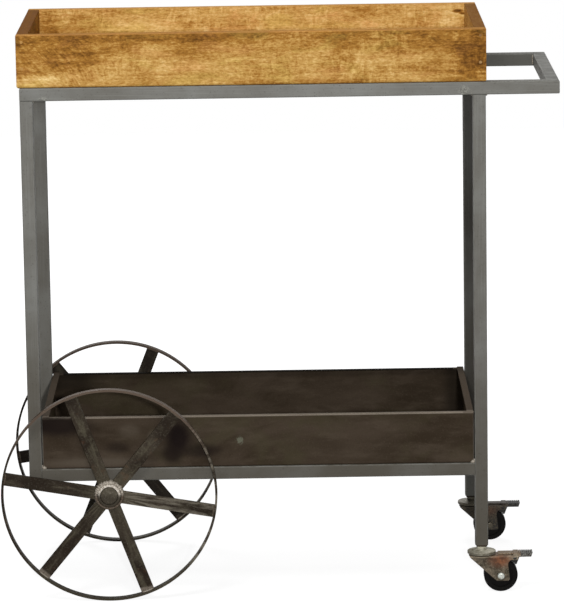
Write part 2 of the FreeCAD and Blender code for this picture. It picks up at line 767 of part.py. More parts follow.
def casterStem(name, along):
    # Headed stem with a nut against the leg plug
    body = casterBody(name, along)
    under = forkTop - at.fork_sheet - at.stem_gap
    top = rightFoot + at.plug_long
    section = newSketch(body, "XZ_Plane")
    outline(section, [(0, under - at.stem_head), (at.stem_head_radius, under - at.stem_head),
                      (at.stem_head_radius, under), (at.stem_radius, under),
                      (at.stem_radius, top), (0, top)])
    revolve(body, section)
    nut = newSketch(body, "XY_Plane", domeTop)
    polygonRound(nut, at.stem_nut, nutSides)
    pad(body, nut, at.stem_nut_tall)


def casterDome(name, along):
    # Brimmed cap that covers the ring of balls; its skirt hangs just clear of the fork
    body = casterBody(name, along)
    inside = at.dome_radius - at.dome_wall
    section = newSketch(body, "XZ_Plane")
    outline(section, [(at.stem_radius, domeUnder), (at.stem_radius, domeTop),
                      (at.dome_top_radius, domeTop),
                      (at.dome_shoulder_radius, domeUnder + at.dome_shoulder),
                      (at.dome_radius, domeUnder + at.dome_rim),
                      (at.dome_radius, ballTop - at.dome_skirt),
                      (inside, ballTop - at.dome_skirt), (inside, domeUnder)])
    revolve(body, section)
    soften(body, at.dome_wall / 2, lambda middle, way: near(middle.z, domeUnder + at.dome_rim))


def casterFork(name, along):
    # Cheeks with a slanted front edge, a flat foot round the axle, a waist and a straight tail
    body = casterBody(name, along)
    heel = wheelX - at.fork_heel
    toe = wheelX + at.fork_toe
    waist = wheelX + at.fork_waist
    tail = wheelX + at.fork_tail
    foot = at.caster_radius - at.fork_drop
    tailUnder = forkTop - at.fork_tail_deep
    plateUnder = forkTop - at.fork_sheet
    cheeks = newSketch(body, "XZ_Plane")
    outline(cheeks, [(-at.fork_nose, forkTop), (-at.fork_nose, plateUnder), (heel, foot),
                     (toe, foot), (waist, tailUnder), (tail, tailUnder), (tail, forkTop)])
    pad(body, cheeks, forkOuter, symmetric=True)
    for radius, across, height in ((at.fork_heel_round, heel, foot), (at.fork_toe_round, toe, foot),
                                   (at.fork_waist_round, waist, tailUnder),
                                   (at.fork_tail_round, tail, tailUnder)):
        soften(body, radius, lambda middle, way: near(middle.x, across) and near(middle.z, height))
    soften(body, at.fork_round, lambda middle, way: near(middle.z, forkTop)
           and near(abs(middle.y), forkOuter / 2) and abs(way.x) > at.fork_nose.value)
    # The wheel's room between the cheeks, open at the front, below and behind
    room = newSketch(body, "XZ_Plane")
    nearEnd = -at.fork_nose - at.overrun
    far = tail + at.overrun
    low = foot - at.overrun
    outline(room, [(nearEnd, low), (far, low), (far, forkTop + at.overrun),
                   (wheelX + at.fork_slot, forkTop + at.overrun),
                   (wheelX + at.fork_slot, plateUnder), (nearEnd, plateUnder)])
    pocket(body, room, forkInner, symmetric=True)
    plate = newSketch(body, "XY_Plane", plateUnder)
    circle(plate, 0, 0, at.fork_plate_radius)
    pad(body, plate, at.fork_sheet)
    hole = newSketch(body, "XY_Plane")
    circle(hole, 0, 0, at.stem_radius + at.running_fit)
    pocket(body, hole, symmetric=True)
    axles = newSketch(body, "XZ_Plane")
    circle(axles, wheelX, at.caster_radius, at.bolt_radius)
    circle(axles, pivotX, pivotZ, at.pin_radius + at.running_fit)
    pocket(body, axles, symmetric=True)


def casterBalls(name, along):
    members = []
    for number in range(ballCount):
        turn = 2 * math.pi * number / ballCount
        ball = doc.addObject("Part::Sphere", "ball")
        ball.setExpression("Radius", at.ball_radius.text)
        place(ball, rightTube + math.cos(turn) * at.ball_circle,
              along + math.sin(turn) * at.ball_circle, forkTop + at.ball_radius)
        members.append(ball)
    group(name, members)


def casterBolt(name, along):
    # Round-headed bolt from the front cheek to a nut behind the back one
    body = casterBody(name, along)
    section = newSketch(body, "XZ_Plane")
    circle(section, wheelX, at.caster_radius, at.bolt_radius)
    pad(body, section, forkOuter, symmetric=True)
    head = newSketch(body, "XZ_Plane", forkOuter / 2)
    circle(head, wheelX, at.caster_radius, at.bolt_head_radius)
    pad(body, head, at.bolt_head)
    soften(body, at.bolt_head_round,
           lambda middle, way: near(middle.y, -forkOuter / 2 - at.bolt_head))
    nut = newSketch(body, "XZ_Plane", -forkOuter / 2)
    polygonRound(nut, at.nut_half, nutSides, wheelX, at.caster_radius)
    pad(body, nut, at.nut_thick, flip=True)


def casterWheel(name, along):
    # Solid wheel with a rounded tread ring, a thinner web and a boss at its bore
    body = newBody(name)
    bore = at.bolt_radius + at.running_fit
    boss = at.caster_boss_radius
    ring = at.caster_radius - at.caster_tread_deep
    bossEnd = at.caster_boss_wide / 2
    webEnd = at.caster_web_wide / 2
    treadEnd = at.caster_wide / 2
    section = newSketch(body, "XY_Plane")
    outline(section, [(bore, -bossEnd), (boss, -bossEnd), (boss, -webEnd), (ring, -webEnd),
                      (ring, -treadEnd), (at.caster_radius, -treadEnd),
                      (at.caster_radius, treadEnd), (ring, treadEnd), (ring, webEnd),
                      (boss, webEnd), (boss, bossEnd), (bore, bossEnd)])
    revolve(body, section)
    soften(body, at.tread_round, lambda middle, way: near(abs(middle.y), treadEnd)
           and near(math.hypot(middle.x, middle.z), at.caster_radius))
    place(body, rightTube + wheelX, along, at.caster_radius)
    keep(body)


def brakePedal(name, along):
    # Ribbed pedal with an arm over the fork, its hub and pin, and the shoe above the tread
    body = casterBody(name, along)
    top = pivotZ + at.lever_thick
    front = pivotX - at.lever_front
    rear = pivotX + at.lever_long
    lever = newSketch(body, "XZ_Plane")
    outline(lever, [(front, pivotZ), (rear - at.lever_slant, pivotZ), (rear, top), (front, top)])
    pad(body, lever, at.lever_wide, symmetric=True)
    arm = newSketch(body, "XZ_Plane")
    armUnder = forkTop + at.arm_lift
    rectangle(arm, at.dome_radius + at.arm_gap, pivotX, armUnder, armUnder + at.arm_thick)
    pad(body, arm, at.arm_wide, symmetric=True)
    hubs = newSketch(body, "XZ_Plane")
    circle(hubs, pivotX, pivotZ, at.lever_hub)
    pad(body, hubs, at.lever_wide, symmetric=True)
    shoeX = pivotX + at.shoe_back
    shoeZ = pivotZ - at.shoe_drop
    shoe = newSketch(body, "XZ_Plane")
    shoeFront = pivotX - at.shoe_ahead
    outline(shoe, [(shoeFront, pivotZ - at.shoe_brow), (shoeFront, pivotZ - at.shoe_chin),
                   (pivotX - at.shoe_bend, pivotZ - at.shoe_bend_drop),
                   (shoeX - at.shoe_radius, shoeZ), (shoeX + at.shoe_radius, shoeZ),
                   (pivotX + at.shoe_heel, pivotZ), (pivotX, pivotZ)])
    pad(body, shoe, at.lever_wide, symmetric=True)
    tip = newSketch(body, "XZ_Plane")
    circle(tip, shoeX, shoeZ, at.shoe_radius)
    pad(body, tip, at.lever_wide, symmetric=True)
    tread = newSketch(body, "XZ_Plane")
    circle(tread, wheelX, at.caster_radius, at.caster_radius + at.shoe_gap)
    pocket(body, tread, at.lever_wide + 2 * at.overrun, symmetric=True)
    pinLine = newSketch(body, "XZ_Plane")
    circle(pinLine, pivotX, pivotZ, at.pin_radius)
    pinLong = forkOuter + 2 * at.end_play
    pad(body, pinLine, pinLong, symmetric=True)
    for side in (-1, 1):
        head = newSketch(body, "XZ_Plane", side * pinLong / 2)
        circle(head, pivotX, pivotZ, at.pin_head_radius)
        pad(body, head, at.pin_head, flip=side < 0)
    groove = newSketch(body, "XZ_Plane")
    first = pivotX + at.rib_start
    rectangle(groove, first, first + at.rib_wide, top - at.rib_deep, top + at.overrun)
    cut = pocket(body, groove, at.lever_wide + 2 * at.overrun, symmetric=True)
    row = body.newObject("PartDesign::LinearPattern", f"{body.Name}_grooves")
    row.Originals = [cut]
    row.Direction = (groove, ["H_Axis"])
    row.setExpression("Length", ((grooveCount - 1) * at.rib_pitch).text)
    row.Occurrences = grooveCount
    body.Tip = row
    doc.recompute()


def buildCasters():
    for end, along in (("front", frontTube), ("back", backTube)):
        keep(legPlug(f"{end}_caster_sleeve", rightTube, along, rightFoot, at.stem_radius))
        casterStem(f"{end}_caster_stem", along)
        casterDome(f"{end}_caster_dome", along)
        casterFork(f"{end}_caster_fork", along)
        casterBalls(f"{end}_caster_balls", along)
        casterBolt(f"{end}_caster_bolt", along)
        casterWheel(f"{end}_caster_wheel", along)
        brakePedal(f"{end}_caster_pedal", along)


def checkPieces():
    doc.recompute()
    for item in doc.Objects:
        faults = [state for state in item.State if state in ("Invalid", "Error")]
        if faults:
            raise RuntimeError(f"{item.Label} is {faults}")
    for piece in pieces:
        if piece.Shape.isNull() or not piece.Shape.isValid():
            raise RuntimeError(f"{piece.Label} has no valid shape")


def writePieces():
    os.makedirs("parts", exist_ok=True)
    for piece in pieces:
        piece.Shape.exportStep(f"parts/{piece.Label}.step")
        print(piece.Label, len(piece.Shape.Solids), round(piece.Shape.Volume))


buildFrame()
buildPlugs()
buildTray()
buildBin()
buildWheels()
buildCasters()
checkPieces()
writePieces()
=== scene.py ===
import math
import bpy
import bmesh
from mathutils import Matrix, Vector, noise


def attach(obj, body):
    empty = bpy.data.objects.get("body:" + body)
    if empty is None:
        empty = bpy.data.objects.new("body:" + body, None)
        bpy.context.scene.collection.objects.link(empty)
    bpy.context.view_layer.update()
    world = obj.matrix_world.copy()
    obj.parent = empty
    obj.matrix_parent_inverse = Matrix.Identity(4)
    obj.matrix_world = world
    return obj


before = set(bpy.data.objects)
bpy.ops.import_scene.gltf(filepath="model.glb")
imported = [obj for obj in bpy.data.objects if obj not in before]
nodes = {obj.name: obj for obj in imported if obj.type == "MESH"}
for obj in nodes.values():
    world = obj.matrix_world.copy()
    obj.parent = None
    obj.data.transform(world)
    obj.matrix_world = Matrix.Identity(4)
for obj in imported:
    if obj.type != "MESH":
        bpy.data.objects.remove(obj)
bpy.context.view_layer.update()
print("frame loaded with", len(nodes), "nodes")


# places read from the frame, in metres

def box(name):  # a node's low and high corners at rest
    corners = nodes[name].bound_box
    return Vector(corners[0]), Vector(corners[6])


leftLow, leftHigh = box("leg_back_left")
rightLow, rightHigh = box("leg_back_right")
upperLow, upperHigh = box("top_rail_back")
lowerLow, lowerHigh = box("lower_rail_back")
boardLow, boardHigh = box("tray_board_back")
binLow, binHigh = box("bin_pan")
axle = sum(box("axle"), Vector()) / 2
cartMiddle = (leftLow.x + rightHigh.x) / 2


# shader helpers

def tint(red, green, blue):  # a screen colour from 0 to 255 as a linear one
    parts = [value / 255 for value in (red, green, blue)]
    linear = [p / 12.92 if p <= 0.04045 else ((p + 0.055) / 1.055) ** 2.4 for p in parts]
    return (*linear, 1.0)


def connect(tree, entry, feed):
    if isinstance(feed, Signal):
        tree.links.new(feed.socket, entry)
    elif feed is not None:
        entry.default_value = feed


class Signal:  # a socket's value; arithmetic on it adds Math nodes
    def __init__(self, tree, socket):
        self.tree = tree
        self.socket = socket

    def apply(self, operation, *feeds):
        made = self.tree.nodes.new("ShaderNodeMath")
        made.operation = operation
        for entry, feed in zip(made.inputs, feeds):
            connect(self.tree, entry, feed)
        return Signal(self.tree, made.outputs[0])

    def __add__(self, other):
        return self.apply("ADD", self, other)

    def __radd__(self, other):
        return self.apply("ADD", other, self)

    def __sub__(self, other):
        return self.apply("SUBTRACT", self, other)

    def __rsub__(self, other):
        return self.apply("SUBTRACT", other, self)

    def __mul__(self, other):
        return self.apply("MULTIPLY", self, other)

    def __rmul__(self, other):
        return self.apply("MULTIPLY", other, self)

    def __truediv__(self, other):
        return self.apply("DIVIDE", self, other)

    def __rtruediv__(self, other):
        return self.apply("DIVIDE", other, self)

    def __abs__(self):
        return self.apply("ABSOLUTE", self)

    def least(self, other):
        return self.apply("MINIMUM", self, other)

    def most(self, other):
        return self.apply("MAXIMUM", self, other)

    def root(self):
        return self.apply("SQRT", self)

    def turn(self, other):
        return self.apply("ARCTAN2", self, other)


class Shading:  # a node tree that nodes are added to
    def __init__(self, tree):
        self.tree = tree

    def node(self, kind, settings=None, feeds=None, output=0):
        made = self.tree.nodes.new("ShaderNode" + kind)
        for word, value in (settings or {}).items():
            if word == "stops":
                band = made.color_ramp.elements
                while len(band) < len(value):
                    band.new(0.5)
                for element, (where, colour) in zip(band, value):
                    element.position = where
                    element.color = colour
            else:
                setattr(made, word, value)
        for word, value in (feeds or {}).items():
            connect(self.tree, made.inputs[word], value)
        return Signal(self.tree, made.outputs[output])

    def outputs(self, kind, feeds, names):  # several outputs of one node
        made = self.node(kind, None, feeds).socket.node
        return [Signal(self.tree, made.outputs[name]) for name in names]

    def seenDirectly(self):  # 1 for rays that should meet a white background
        rays = ("Is Camera Ray", "Is Glossy Ray", "Is Transmission Ray")
        camera, glossy, through = self.outputs("LightPath", None, rays)
        return camera.most(glossy).most(through)


class Finish(Shading):  # one material round a principled shader
    def __init__(self, name, **constants):
        self.material = bpy.data.materials.new(name)
        self.material.use_nodes = True
        super().__init__(self.material.node_tree)
        self.shader = self.tree.nodes["Principled BSDF"]
        for word, value in constants.items():
            self.shader.inputs[word.replace("_", " ")].default_value = value
        self.place = self.node("TexCoord", output="Object")

    def vector(self, operation, first, second):
        return self.node("VectorMath", {"operation": operation}, {0: first, 1: second})

    def stretched(self, factors, shift=(0, 0, 0)):
        scaled = self.vector("MULTIPLY", self.place, factors)
        return self.vector("ADD", scaled, shift)

    def axes(self):
        return self.outputs("SeparateXYZ", {0: self.place}, "XYZ")

    def joined(self, x, y, z):
        return self.node("CombineXYZ", None, {0: x, 1: y, 2: z})

    def noise(self, source, scale, detail, rough, bend=0.0):
        return self.node("TexNoise", None, {"Vector": source, "Scale": scale, "Detail": detail,
                                            "Roughness": rough, "Distortion": bend})

    def fade(self, value, low, high, start=0.0, end=1.0):
        return self.node("MapRange", {"interpolation_type": "SMOOTHSTEP"},
                         {"Value": value, "From Min": low, "From Max": high,
                          "To Min": start, "To Max": end})

    def oval(self, across, tall, atAcross, atTall, halfAcross, halfTall):
        # 0 in the middle of an oval and 1 on its outline
        offAcross = (across - atAcross) / halfAcross
        offTall = (tall - atTall) / halfTall
        return (offAcross * offAcross + offTall * offTall).root()

    def ramp(self, value, stops):
        return self.node("ValToRGB", {"stops": stops}, {0: value})

    def mix(self, factor, first, second, blend="MIX"):
        return self.node("Mix", {"data_type": "RGBA", "blend_type": blend},
                         {0: factor, 6: first, 7: second}, 2)

    def bump(self, height, distance, strength, under=None):
        return self.node("Bump", None, {"Height": height, "Distance": distance,
                                        "Strength": strength, "Normal": under})

    def set(self, word, value):
        connect(self.tree, self.shader.inputs[word], value)

    def wear(self, *names):
        for name in names:
            held = nodes[name].data.materials
            held.clear()
            held.append(self.material)


# frame of grey steel tube; a band holds where a tone begins and where it is full

frameLook = {
    "paint": tint(121, 121, 117),
    "shade": tint(103, 101, 95),
    "bright": tint(142, 142, 137),
    "low": tint(76, 71, 62),  # painted shade: the steel is painted darker towards the floor
    "lowShadeBand": (0.6, 0.06),
    "lowShadeShare": 0.9,
    "far": tint(80, 79, 74),  # and painted darker as shade on its back half
    "farShadeBand": (-0.15, 0.14),
    "farShadeShare": {"X": 0.85, "Y": 0.5, "Z": 0.15},
    "topShadeBand": (0.0016, 0.0002),  # below the upper face
    "topShadeShare": {"X": 0.0, "Y": 0.9, "Z": 0.0},  # painted shade: the upper faces of the tubes along Y are painted darker, the handle's among them
    "paintedFootBand": (0.19, 0.165),
    "paintedFootFarBand": (0.1, 0.14),
    "paintedFootShare": 0.65,  # painted light: the feet of the back legs are painted brighter where the cart's own shadow falls on them
    "edgeBand": (0.0074, 0.0092),  # out from a tube's middle line
    "pit": tint(62, 58, 52),
    "scoured": tint(166, 166, 156),
    "groundSpots": ((-0.336, 0.7455, 0.007, 0.0035), (0.274, 0.749, 0.010, 0.007)),
    "roughness": 0.58,
    "brushing": 0.3,
}


def tubeEdge(finish, axis, x, y, z):  # 1 on the rounded long edges of a tube along the axis
    band = frameLook["edgeBand"]
    legX = (rightLow.x + rightHigh.x) / 2 - cartMiddle
    legY = (rightLow.y + rightHigh.y) / 2
    upper = (upperLow.z + upperHigh.z) / 2
    lower = (lowerLow.z + lowerHigh.z) / 2
    offX = abs(abs(x - cartMiddle) - legX)
    offY = abs(abs(y) - legY)
    offZ = abs(abs(z - (upper + lower) / 2) - (upper - lower) / 2)
    first, second = {"X": (offY, offZ), "Y": (offX, offZ), "Z": (offX, offY)}[axis]
    return finish.fade(first, *band) * finish.fade(second, *band)


def weldedSpot(finish, x, z):  # 1 where the welds beside the legs were ground flush
    near = finish.noise(finish.place, 210, 3, 0.6)
    found = 0.0
    for place in frameLook["groundSpots"]:
        gap = finish.oval(x, z, *place) + (near - 0.5) * 2.4
        found = finish.fade(gap, 1.2, 0.5).most(found)
    return found


def framePaint(axis):
    look = frameLook
    finish = Finish("framePaint" + axis, Metallic=0.12, Specular_IOR_Level=0.08)
    x, y, z = finish.axes()
    along = {"X": (11, 620, 620), "Y": (620, 11, 620), "Z": (620, 620, 11)}[axis]
    cloud = finish.noise(finish.place, 9, 4, 0.55)
    patch = finish.noise(finish.stretched((1, 1, 1), (3.1, 7.4, 1.9)), 38, 5, 0.6)
    brush = finish.noise(finish.stretched(along), 1, 3, 0.6)
    speck = finish.noise(finish.stretched((1, 1, 1), (8, 2, 5)), 420, 2, 0.5)
    colour = finish.mix(finish.fade(cloud, 0.3, 0.7), look["shade"], look["paint"])
    colour = finish.mix(finish.fade(patch, 0.5, 0.72) * 0.4, colour, look["shade"])
    colour = finish.mix(finish.fade(brush, 0.45, 0.75) * look["brushing"], colour, look["bright"])
    # painted shade, darker towards the floor
    lower = finish.fade(z + (cloud - 0.5) * 0.3, *look["lowShadeBand"])
    colour = finish.mix(lower * look["lowShadeShare"], colour, look["low"])
    # painted light on the feet of the back legs
    foot = finish.fade(z, *look["paintedFootBand"]) * finish.fade(y, *look["paintedFootFarBand"])
    colour = finish.mix(foot * look["paintedFootShare"], colour, look["bright"])
    # painted shade on the back half
    far = finish.fade(y, *look["farShadeBand"]) * look["farShadeShare"][axis]
    colour = finish.mix(far, colour, look["far"])
    # painted shade on the upper faces of the tubes along Y
    upper = finish.fade(upperHigh.z - z, *look["topShadeBand"]) * look["topShadeShare"][axis]
    colour = finish.mix(upper, colour, look["far"])
    colour = finish.mix(finish.fade(speck, 0.62, 0.72) * 0.4, colour, look["pit"])
    edge = tubeEdge(finish, axis, x, y, z) * finish.fade(patch, 0.35, 0.6)
    colour = finish.mix(edge * 0.5, colour, look["bright"])
    joint = weldedSpot(finish, x, z)
    ground = finish.noise(finish.stretched((1, 1, 1), (1, 9, 4)), 560, 3, 0.7)
    scoured = finish.mix(finish.fade(ground, 0.38, 0.6), look["pit"], look["scoured"])
    colour = finish.mix(joint * 0.4, colour, scoured)
    finish.set("Base Color", colour)
    finish.set("Roughness", look["roughness"] + (brush - 0.5) * 0.25 + (patch - 0.5) * 0.2)
    fine = finish.bump(brush, 0.00012, 0.5)
    finish.set("Normal", finish.bump(cloud + patch * 0.5, 0.0006, 0.35, fine))
    return finish


framePaint("X").wear("top_rail_front", "top_rail_back", "lower_rail_front", "lower_rail_back")
framePaint("Y").wear("top_rail_left", "top_rail_right", "handle_bar",
                     "lower_rail_left", "lower_rail_right")
framePaint("Z").wear("leg_front_left", "leg_back_left", "leg_front_right", "leg_back_right")
print("frame painted")


# weld beads

weldLook = {
    "sides": 8,
    "step": 0.0011,
    "swell": 0.35,
    "swellScale": 320,
    "ripple": 0.16,
    "rippleTurn": 2.1,
    "dent": 0.2,
    "dentScale": 700,
    "endRings": 2.5,  # how many steps an end takes to reach full thickness
    "endFill": 0.05,
    "seedStep": 1.7,
    "steel": tint(154, 146, 134),
    "bright": tint(190, 182, 168),
    # this colour is also the painted shade on the lower half of the hub welds
    "burntAndShade": tint(74, 62, 50),
    "paleBand": (0.06, 0.035),
    "litUpperBand": (-0.004, 0.006),  # about the height where a bead's painted highlight begins, with painted shade below
}


def weldFinish(name, bright, height=None, bare=1.0):
    # height is where the painted highlight on a bead's upper half begins, the lower half painted
    # in shade; bare is the share of clean steel
    look = weldLook
    finish = Finish(name, Metallic=0.2, Specular_IOR_Level=0.15)
    z = finish.axes()[2]
    cloud = finish.noise(finish.place, 240, 4, 0.65)
    speck = finish.noise(finish.stretched((1, 1, 1), (4, 1, 7)), 900, 3, 0.65)
    colour = finish.mix(finish.fade(cloud, 0.32, 0.55) * bare, look["burntAndShade"], look["steel"])
    shine = finish.fade(speck, 0.44, 0.6) * bright
    if bare < 1.0:  # the lowest beads are the palest
        colour = finish.mix(finish.fade(z, *look["paleBand"]) * 0.75, colour, look["steel"])
    # painted shade below height, painted highlight above it
    if height is not None:
        upper = finish.fade(z - height + (cloud - 0.5) * 0.01, *look["litUpperBand"])
        colour = finish.mix((1 - upper) * 0.9, colour, look["burntAndShade"])
        shine = shine * upper
    colour = finish.mix(shine, colour, look["bright"])
    finish.set("Base Color", colour)
    finish.set("Roughness", 0.48 + (speck - 0.5) * 0.3)
    finish.set("Normal", finish.bump(speck, 0.0004, 0.7, finish.bump(cloud, 0.0008, 0.5)))
    return finish


def weldPath(start, end):
    start, end = Vector(start), Vector(end)
    count = max(4, round((end - start).length / weldLook["step"]))
    return [start.lerp(end, number / count) for number in range(count + 1)]


def ringPath(middle, radius, first=0.0, last=360.0):  # an arc round the wheel's axle
    count = max(8, round(math.radians(last - first) * radius / weldLook["step"]))
    turns = [math.radians(first + (last - first) * number / count) for number in range(count + 1)]
    return [Vector(middle) + Vector((math.cos(turn), 0, math.sin(turn))) * radius
            for turn in turns]


def beadRings(mesh, path, radius, seed, closed):
    # a rippled tube of uneven thickness; its ends shrink to a point
    look = weldLook
    sides = look["sides"]
    rings = []
    for number, centre in enumerate(path):
        ahead = path[min(number + 1, len(path) - 1)] - path[max(number - 1, 0)]
        ahead.normalize()
        across = Vector((0, 1, 0)) if closed else ahead.orthogonal().normalized()
        up = ahead.cross(across)
        fill = 1.0
        if not closed:
            fromEnd = min(number, len(path) - 1 - number) / look["endRings"]
            fill = math.sqrt(min(1.0, fromEnd + look["endFill"]))
        lump = noise.noise(centre * look["swellScale"] + Vector((seed, 0, 0)))
        wave = math.sin(number * look["rippleTurn"] + seed)
        thick = radius * fill * (1 + look["swell"] * lump + look["ripple"] * wave)
        ring = []
        for side in range(sides):
            turn = 2 * math.pi * side / sides
            arm = across * math.cos(turn) + up * math.sin(turn)
            dent = 1 + look["dent"] * noise.noise((centre + arm * radius) * look["dentScale"])
            ring.append(mesh.verts.new(centre + arm * thick * dent))
        rings.append(ring)
    if closed:
        rings[-1] = rings[0]
    for one, two in zip(rings, rings[1:]):
        for side in range(sides):
            after = (side + 1) % sides
            mesh.faces.new((one[side], one[after], two[after], two[side]))
    if not closed:
        mesh.faces.new(list(reversed(rings[0])))
        mesh.faces.new(rings[-1])


def weldPiece(name, body, finish, beads):
    mesh = bmesh.new()
    for seed, (path, radius, closed) in enumerate(beads):
        beadRings(mesh, path, radius, seed * weldLook["seedStep"], closed)
    bmesh.ops.delete(mesh, geom=[v for v in mesh.verts if not v.link_faces], context="VERTS")
    bmesh.ops.recalc_face_normals(mesh, faces=mesh.faces)
    data = bpy.data.meshes.new(name)
    mesh.to_mesh(data)
    mesh.free()
    data.shade_smooth()
    data.materials.append(finish.material)
    piece = bpy.data.objects.new(name, data)
    bpy.context.scene.collection.objects.link(piece)
    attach(piece, body)


frameWeldLook = {
    "inset": 0.0006,  # how far a bead's middle line lies off the steel
    "handleInset": 0.0005,
    "bracketInset": 0.0004,
    "gap": 0.002,  # between a bead's end and the end of its joint
    "legGap": 0.0015,
    "tubeBead": 0.0014,  # radii
    "cornerBead": 0.0012,
    "rightLegBead": 0.0018,
    "handleBead": 0.0013,
    "bracketBead": 0.0015,
    # along, out from and above a lower corner of the bin, for both ends of a bead; its radius
    "binBeads": (((-0.005, 0.0007, 0.001), (0.0018, 0.0007, 0.0022), 0.0028),
                 ((0.0006, 0.0003, 0.0006), (0.0008, 0.0001, 0.006), 0.0014)),
}


def frameWelds():
    look = frameWeldLook
    inset, gap = look["inset"], look["gap"]
    inner, outer = rightLow.y, rightHigh.y  # the faces of the back tubes
    near, far = inner + gap, outer - gap
    upper, lower = upperLow.z - inset, lowerLow.z + inset
    halfTube = (rightHigh.x - rightLow.x) / 2
    reach = halfTube - look["legGap"]
    bracketLow, bracketHigh = box("axle_bracket_back")
    beads = []
    blobs = []  # under the corners of the bin

    def bead(start, end, kind):
        beads.append((weldPath(start, end), look[kind], False))

    for side in (-1, 1):
        back = side * (inner - inset)
        for face, into in ((leftHigh.x, -1), (rightLow.x, 1)):  # into the leg
            corner = face - into * inset
            for height in (upper, lower):
                bead((corner, side * near, height), (corner, side * far, height), "tubeBead")
            bead((corner, back, lowerLow.z + gap), (corner, back, binLow.z - gap), "cornerBead")
            leg = face + into * halfTube
            for height in (upper, lower):
                bead((leg - reach, back, height), (leg + reach, back, height), "tubeBead")
        outside = rightHigh.x + inset
        bead((outside, side * near, upper), (outside, side * far, upper), "rightLegBead")
        handle = box("handle_bar")[0].x - look["handleInset"]
        back = side * (inner - look["handleInset"])
        bead((handle, back, upperLow.z + gap), (handle, back, upperHigh.z - gap), "handleBead")
        for end, out in ((binLow.x, -1), (binHigh.x, 1)):
            for first, last, radius in look["binBeads"]:
                ends = [(end + out * along, side * (binHigh.y + off), binLow.z + above)
                        for along, off, above in (first, last)]
                blobs.append((weldPath(*ends), radius, False))
        for face, out in ((bracketLow.y, -1), (bracketHigh.y, 1)):
            across = side * (face + out * look["bracketInset"])
            bead((bracketLow.x + gap, across, lowerLow.z - inset),
                 (bracketHigh.x - gap, across, lowerLow.z - inset), "bracketBead")
    weldPiece("frameWelds", "frame", weldFinish("frameWeldSteel", 0.12), beads)
    weldPiece("binWelds", "frame", weldFinish("binWeldSteel", 0.25), blobs)


frameWelds()
print("frame welded")


# wooden tray

woodLook = {
    "tones": ((0.0, tint(84, 53, 21)), (0.2, tint(120, 79, 31)), (0.4, tint(162, 113, 48)),
              (0.6, tint(198, 155, 87)), (0.8, tint(225, 189, 124)), (1.0, tint(246, 219, 166))),
    "rose": tint(190, 128, 74),
    "olive": tint(160, 134, 66),
    "pore": tint(96, 58, 22),
    "rim": tint(206, 150, 86),
    "darkRim": tint(120, 80, 44),
    "rimBand": (0.0017, 0.0005),  # below the boards' upper edge
    "paintedFootBand": (0.0022, 0.0006),  # above their lower edge, where a line of painted shade runs
    "paintedFootShare": 0.6,
    "broad": 0.6,  # how much each figure moves the tone
    "blotch": 0.4,
    "curl": 0.6,
    "streak": 0.35,
    "speck": 0.85,
    "leanBand": (-0.2, -0.33),
    "leanAbout": 0.8,
    "sapBand": (0.0012, -0.0012),
    "sapBroadWave": 0.012,
    "sapFineWave": 0.006,
    "sapChange": 0.04,
    "seedStep": 3.17,
    "floorTone": 0.54,
    "floorStep": 0.05,
}


def woodFinish(name, grain, seed, tone, sapLine=None, spots=(), lean=0.0,
               rim="rim", rimShare=0.5):
    # grain is the axis that the fibres follow; spots are places where the tone changes
    look = woodLook
    finish = Finish(name, Specular_IOR_Level=0.015)
    x, y, z = finish.axes()
    along, across, tall = {"X": (x, y, z), "Y": (y, x, z)}[grain]
    shift = seed * look["seedStep"]

    def figure(long, cross, detail, rough, bend=0.0, moves=(shift, 0, 0)):
        # a noise stretched along the grain
        place = finish.joined(along * long + moves[0], across * cross + moves[1],
                              tall * cross + moves[2])
        return finish.noise(place, 1, detail, rough, bend)

    broad = figure(9, 34, 3, 0.55, 0.5)
    blotch = figure(38, 90, 4, 0.62, 0.6, (-shift, 0, 0))
    streak = figure(14, 260, 3, 0.6, 0.3)
    speck = figure(170, 430, 4, 0.75, 0.0, (0, shift, 0))
    hue = figure(16, 44, 3, 0.55, 0.6, (shift, 0, 4))
    pore = figure(170, 1500, 2, 0.5, 0.0, (0, shift, 0))
    slant = along + (tall - look["leanAbout"]) * finish.fade(along, *look["leanBand"], 0.0, lean)
    curl = finish.noise(finish.joined(slant * 150 + shift, across * 40, tall * 55), 1, 3, 0.6, 0.9)
    curlPlace = finish.joined(along * 12 + 5, across * 20, tall * 26 + shift)
    curlArea = finish.fade(finish.noise(curlPlace, 1, 2, 0.5), 0.4, 0.6)
    level = (tone + (broad - 0.5) * look["broad"] + (blotch - 0.5) * look["blotch"]
             + (curl - 0.5) * curlArea * look["curl"] + (streak - 0.5) * look["streak"]
             + (speck - 0.5) * look["speck"])
    if sapLine is not None:  # paler sapwood below a wavy line
        edge = (sapLine + (broad - 0.5) * look["sapBroadWave"]
                + (blotch - 0.5) * look["sapFineWave"])
        level = level + finish.fade(tall - edge, *look["sapBand"]) * look["sapChange"]
    for *place, change in spots:
        gap = finish.oval(along, tall, *place) + (blotch - 0.5) * 1.1
        level = level + finish.fade(gap, 1.15, 0.25) * change
    colour = finish.ramp(level, look["tones"])
    colour = finish.mix(finish.fade(hue, 0.52, 0.7) * 0.3, colour, look["rose"], "COLOR")
    colour = finish.mix(finish.fade(hue, 0.48, 0.3) * 0.35, colour, look["olive"], "COLOR")
    colour = finish.mix(finish.fade(pore, 0.6, 0.72) * 0.45, colour, look["pore"])
    top = finish.fade(boardHigh.z - z, *look["rimBand"])
    colour = finish.mix(top * rimShare, colour, look[rim])
    # painted shade along the lower edge of the boards
    foot = finish.fade(z - boardLow.z, *look["paintedFootBand"])
    colour = finish.mix(foot * look["paintedFootShare"], colour, look["pore"])
    finish.set("Base Color", colour)
    finish.set("Roughness", 0.52 + (streak - 0.5) * 0.3 + (blotch - 0.5) * 0.2 + top * 0.4)
    grainBump = finish.bump(streak * 0.5 + pore, 0.00018, 0.5)
    finish.set("Normal", finish.bump(broad + blotch * 0.5, 0.0007, 0.3, grainBump))
    return finish


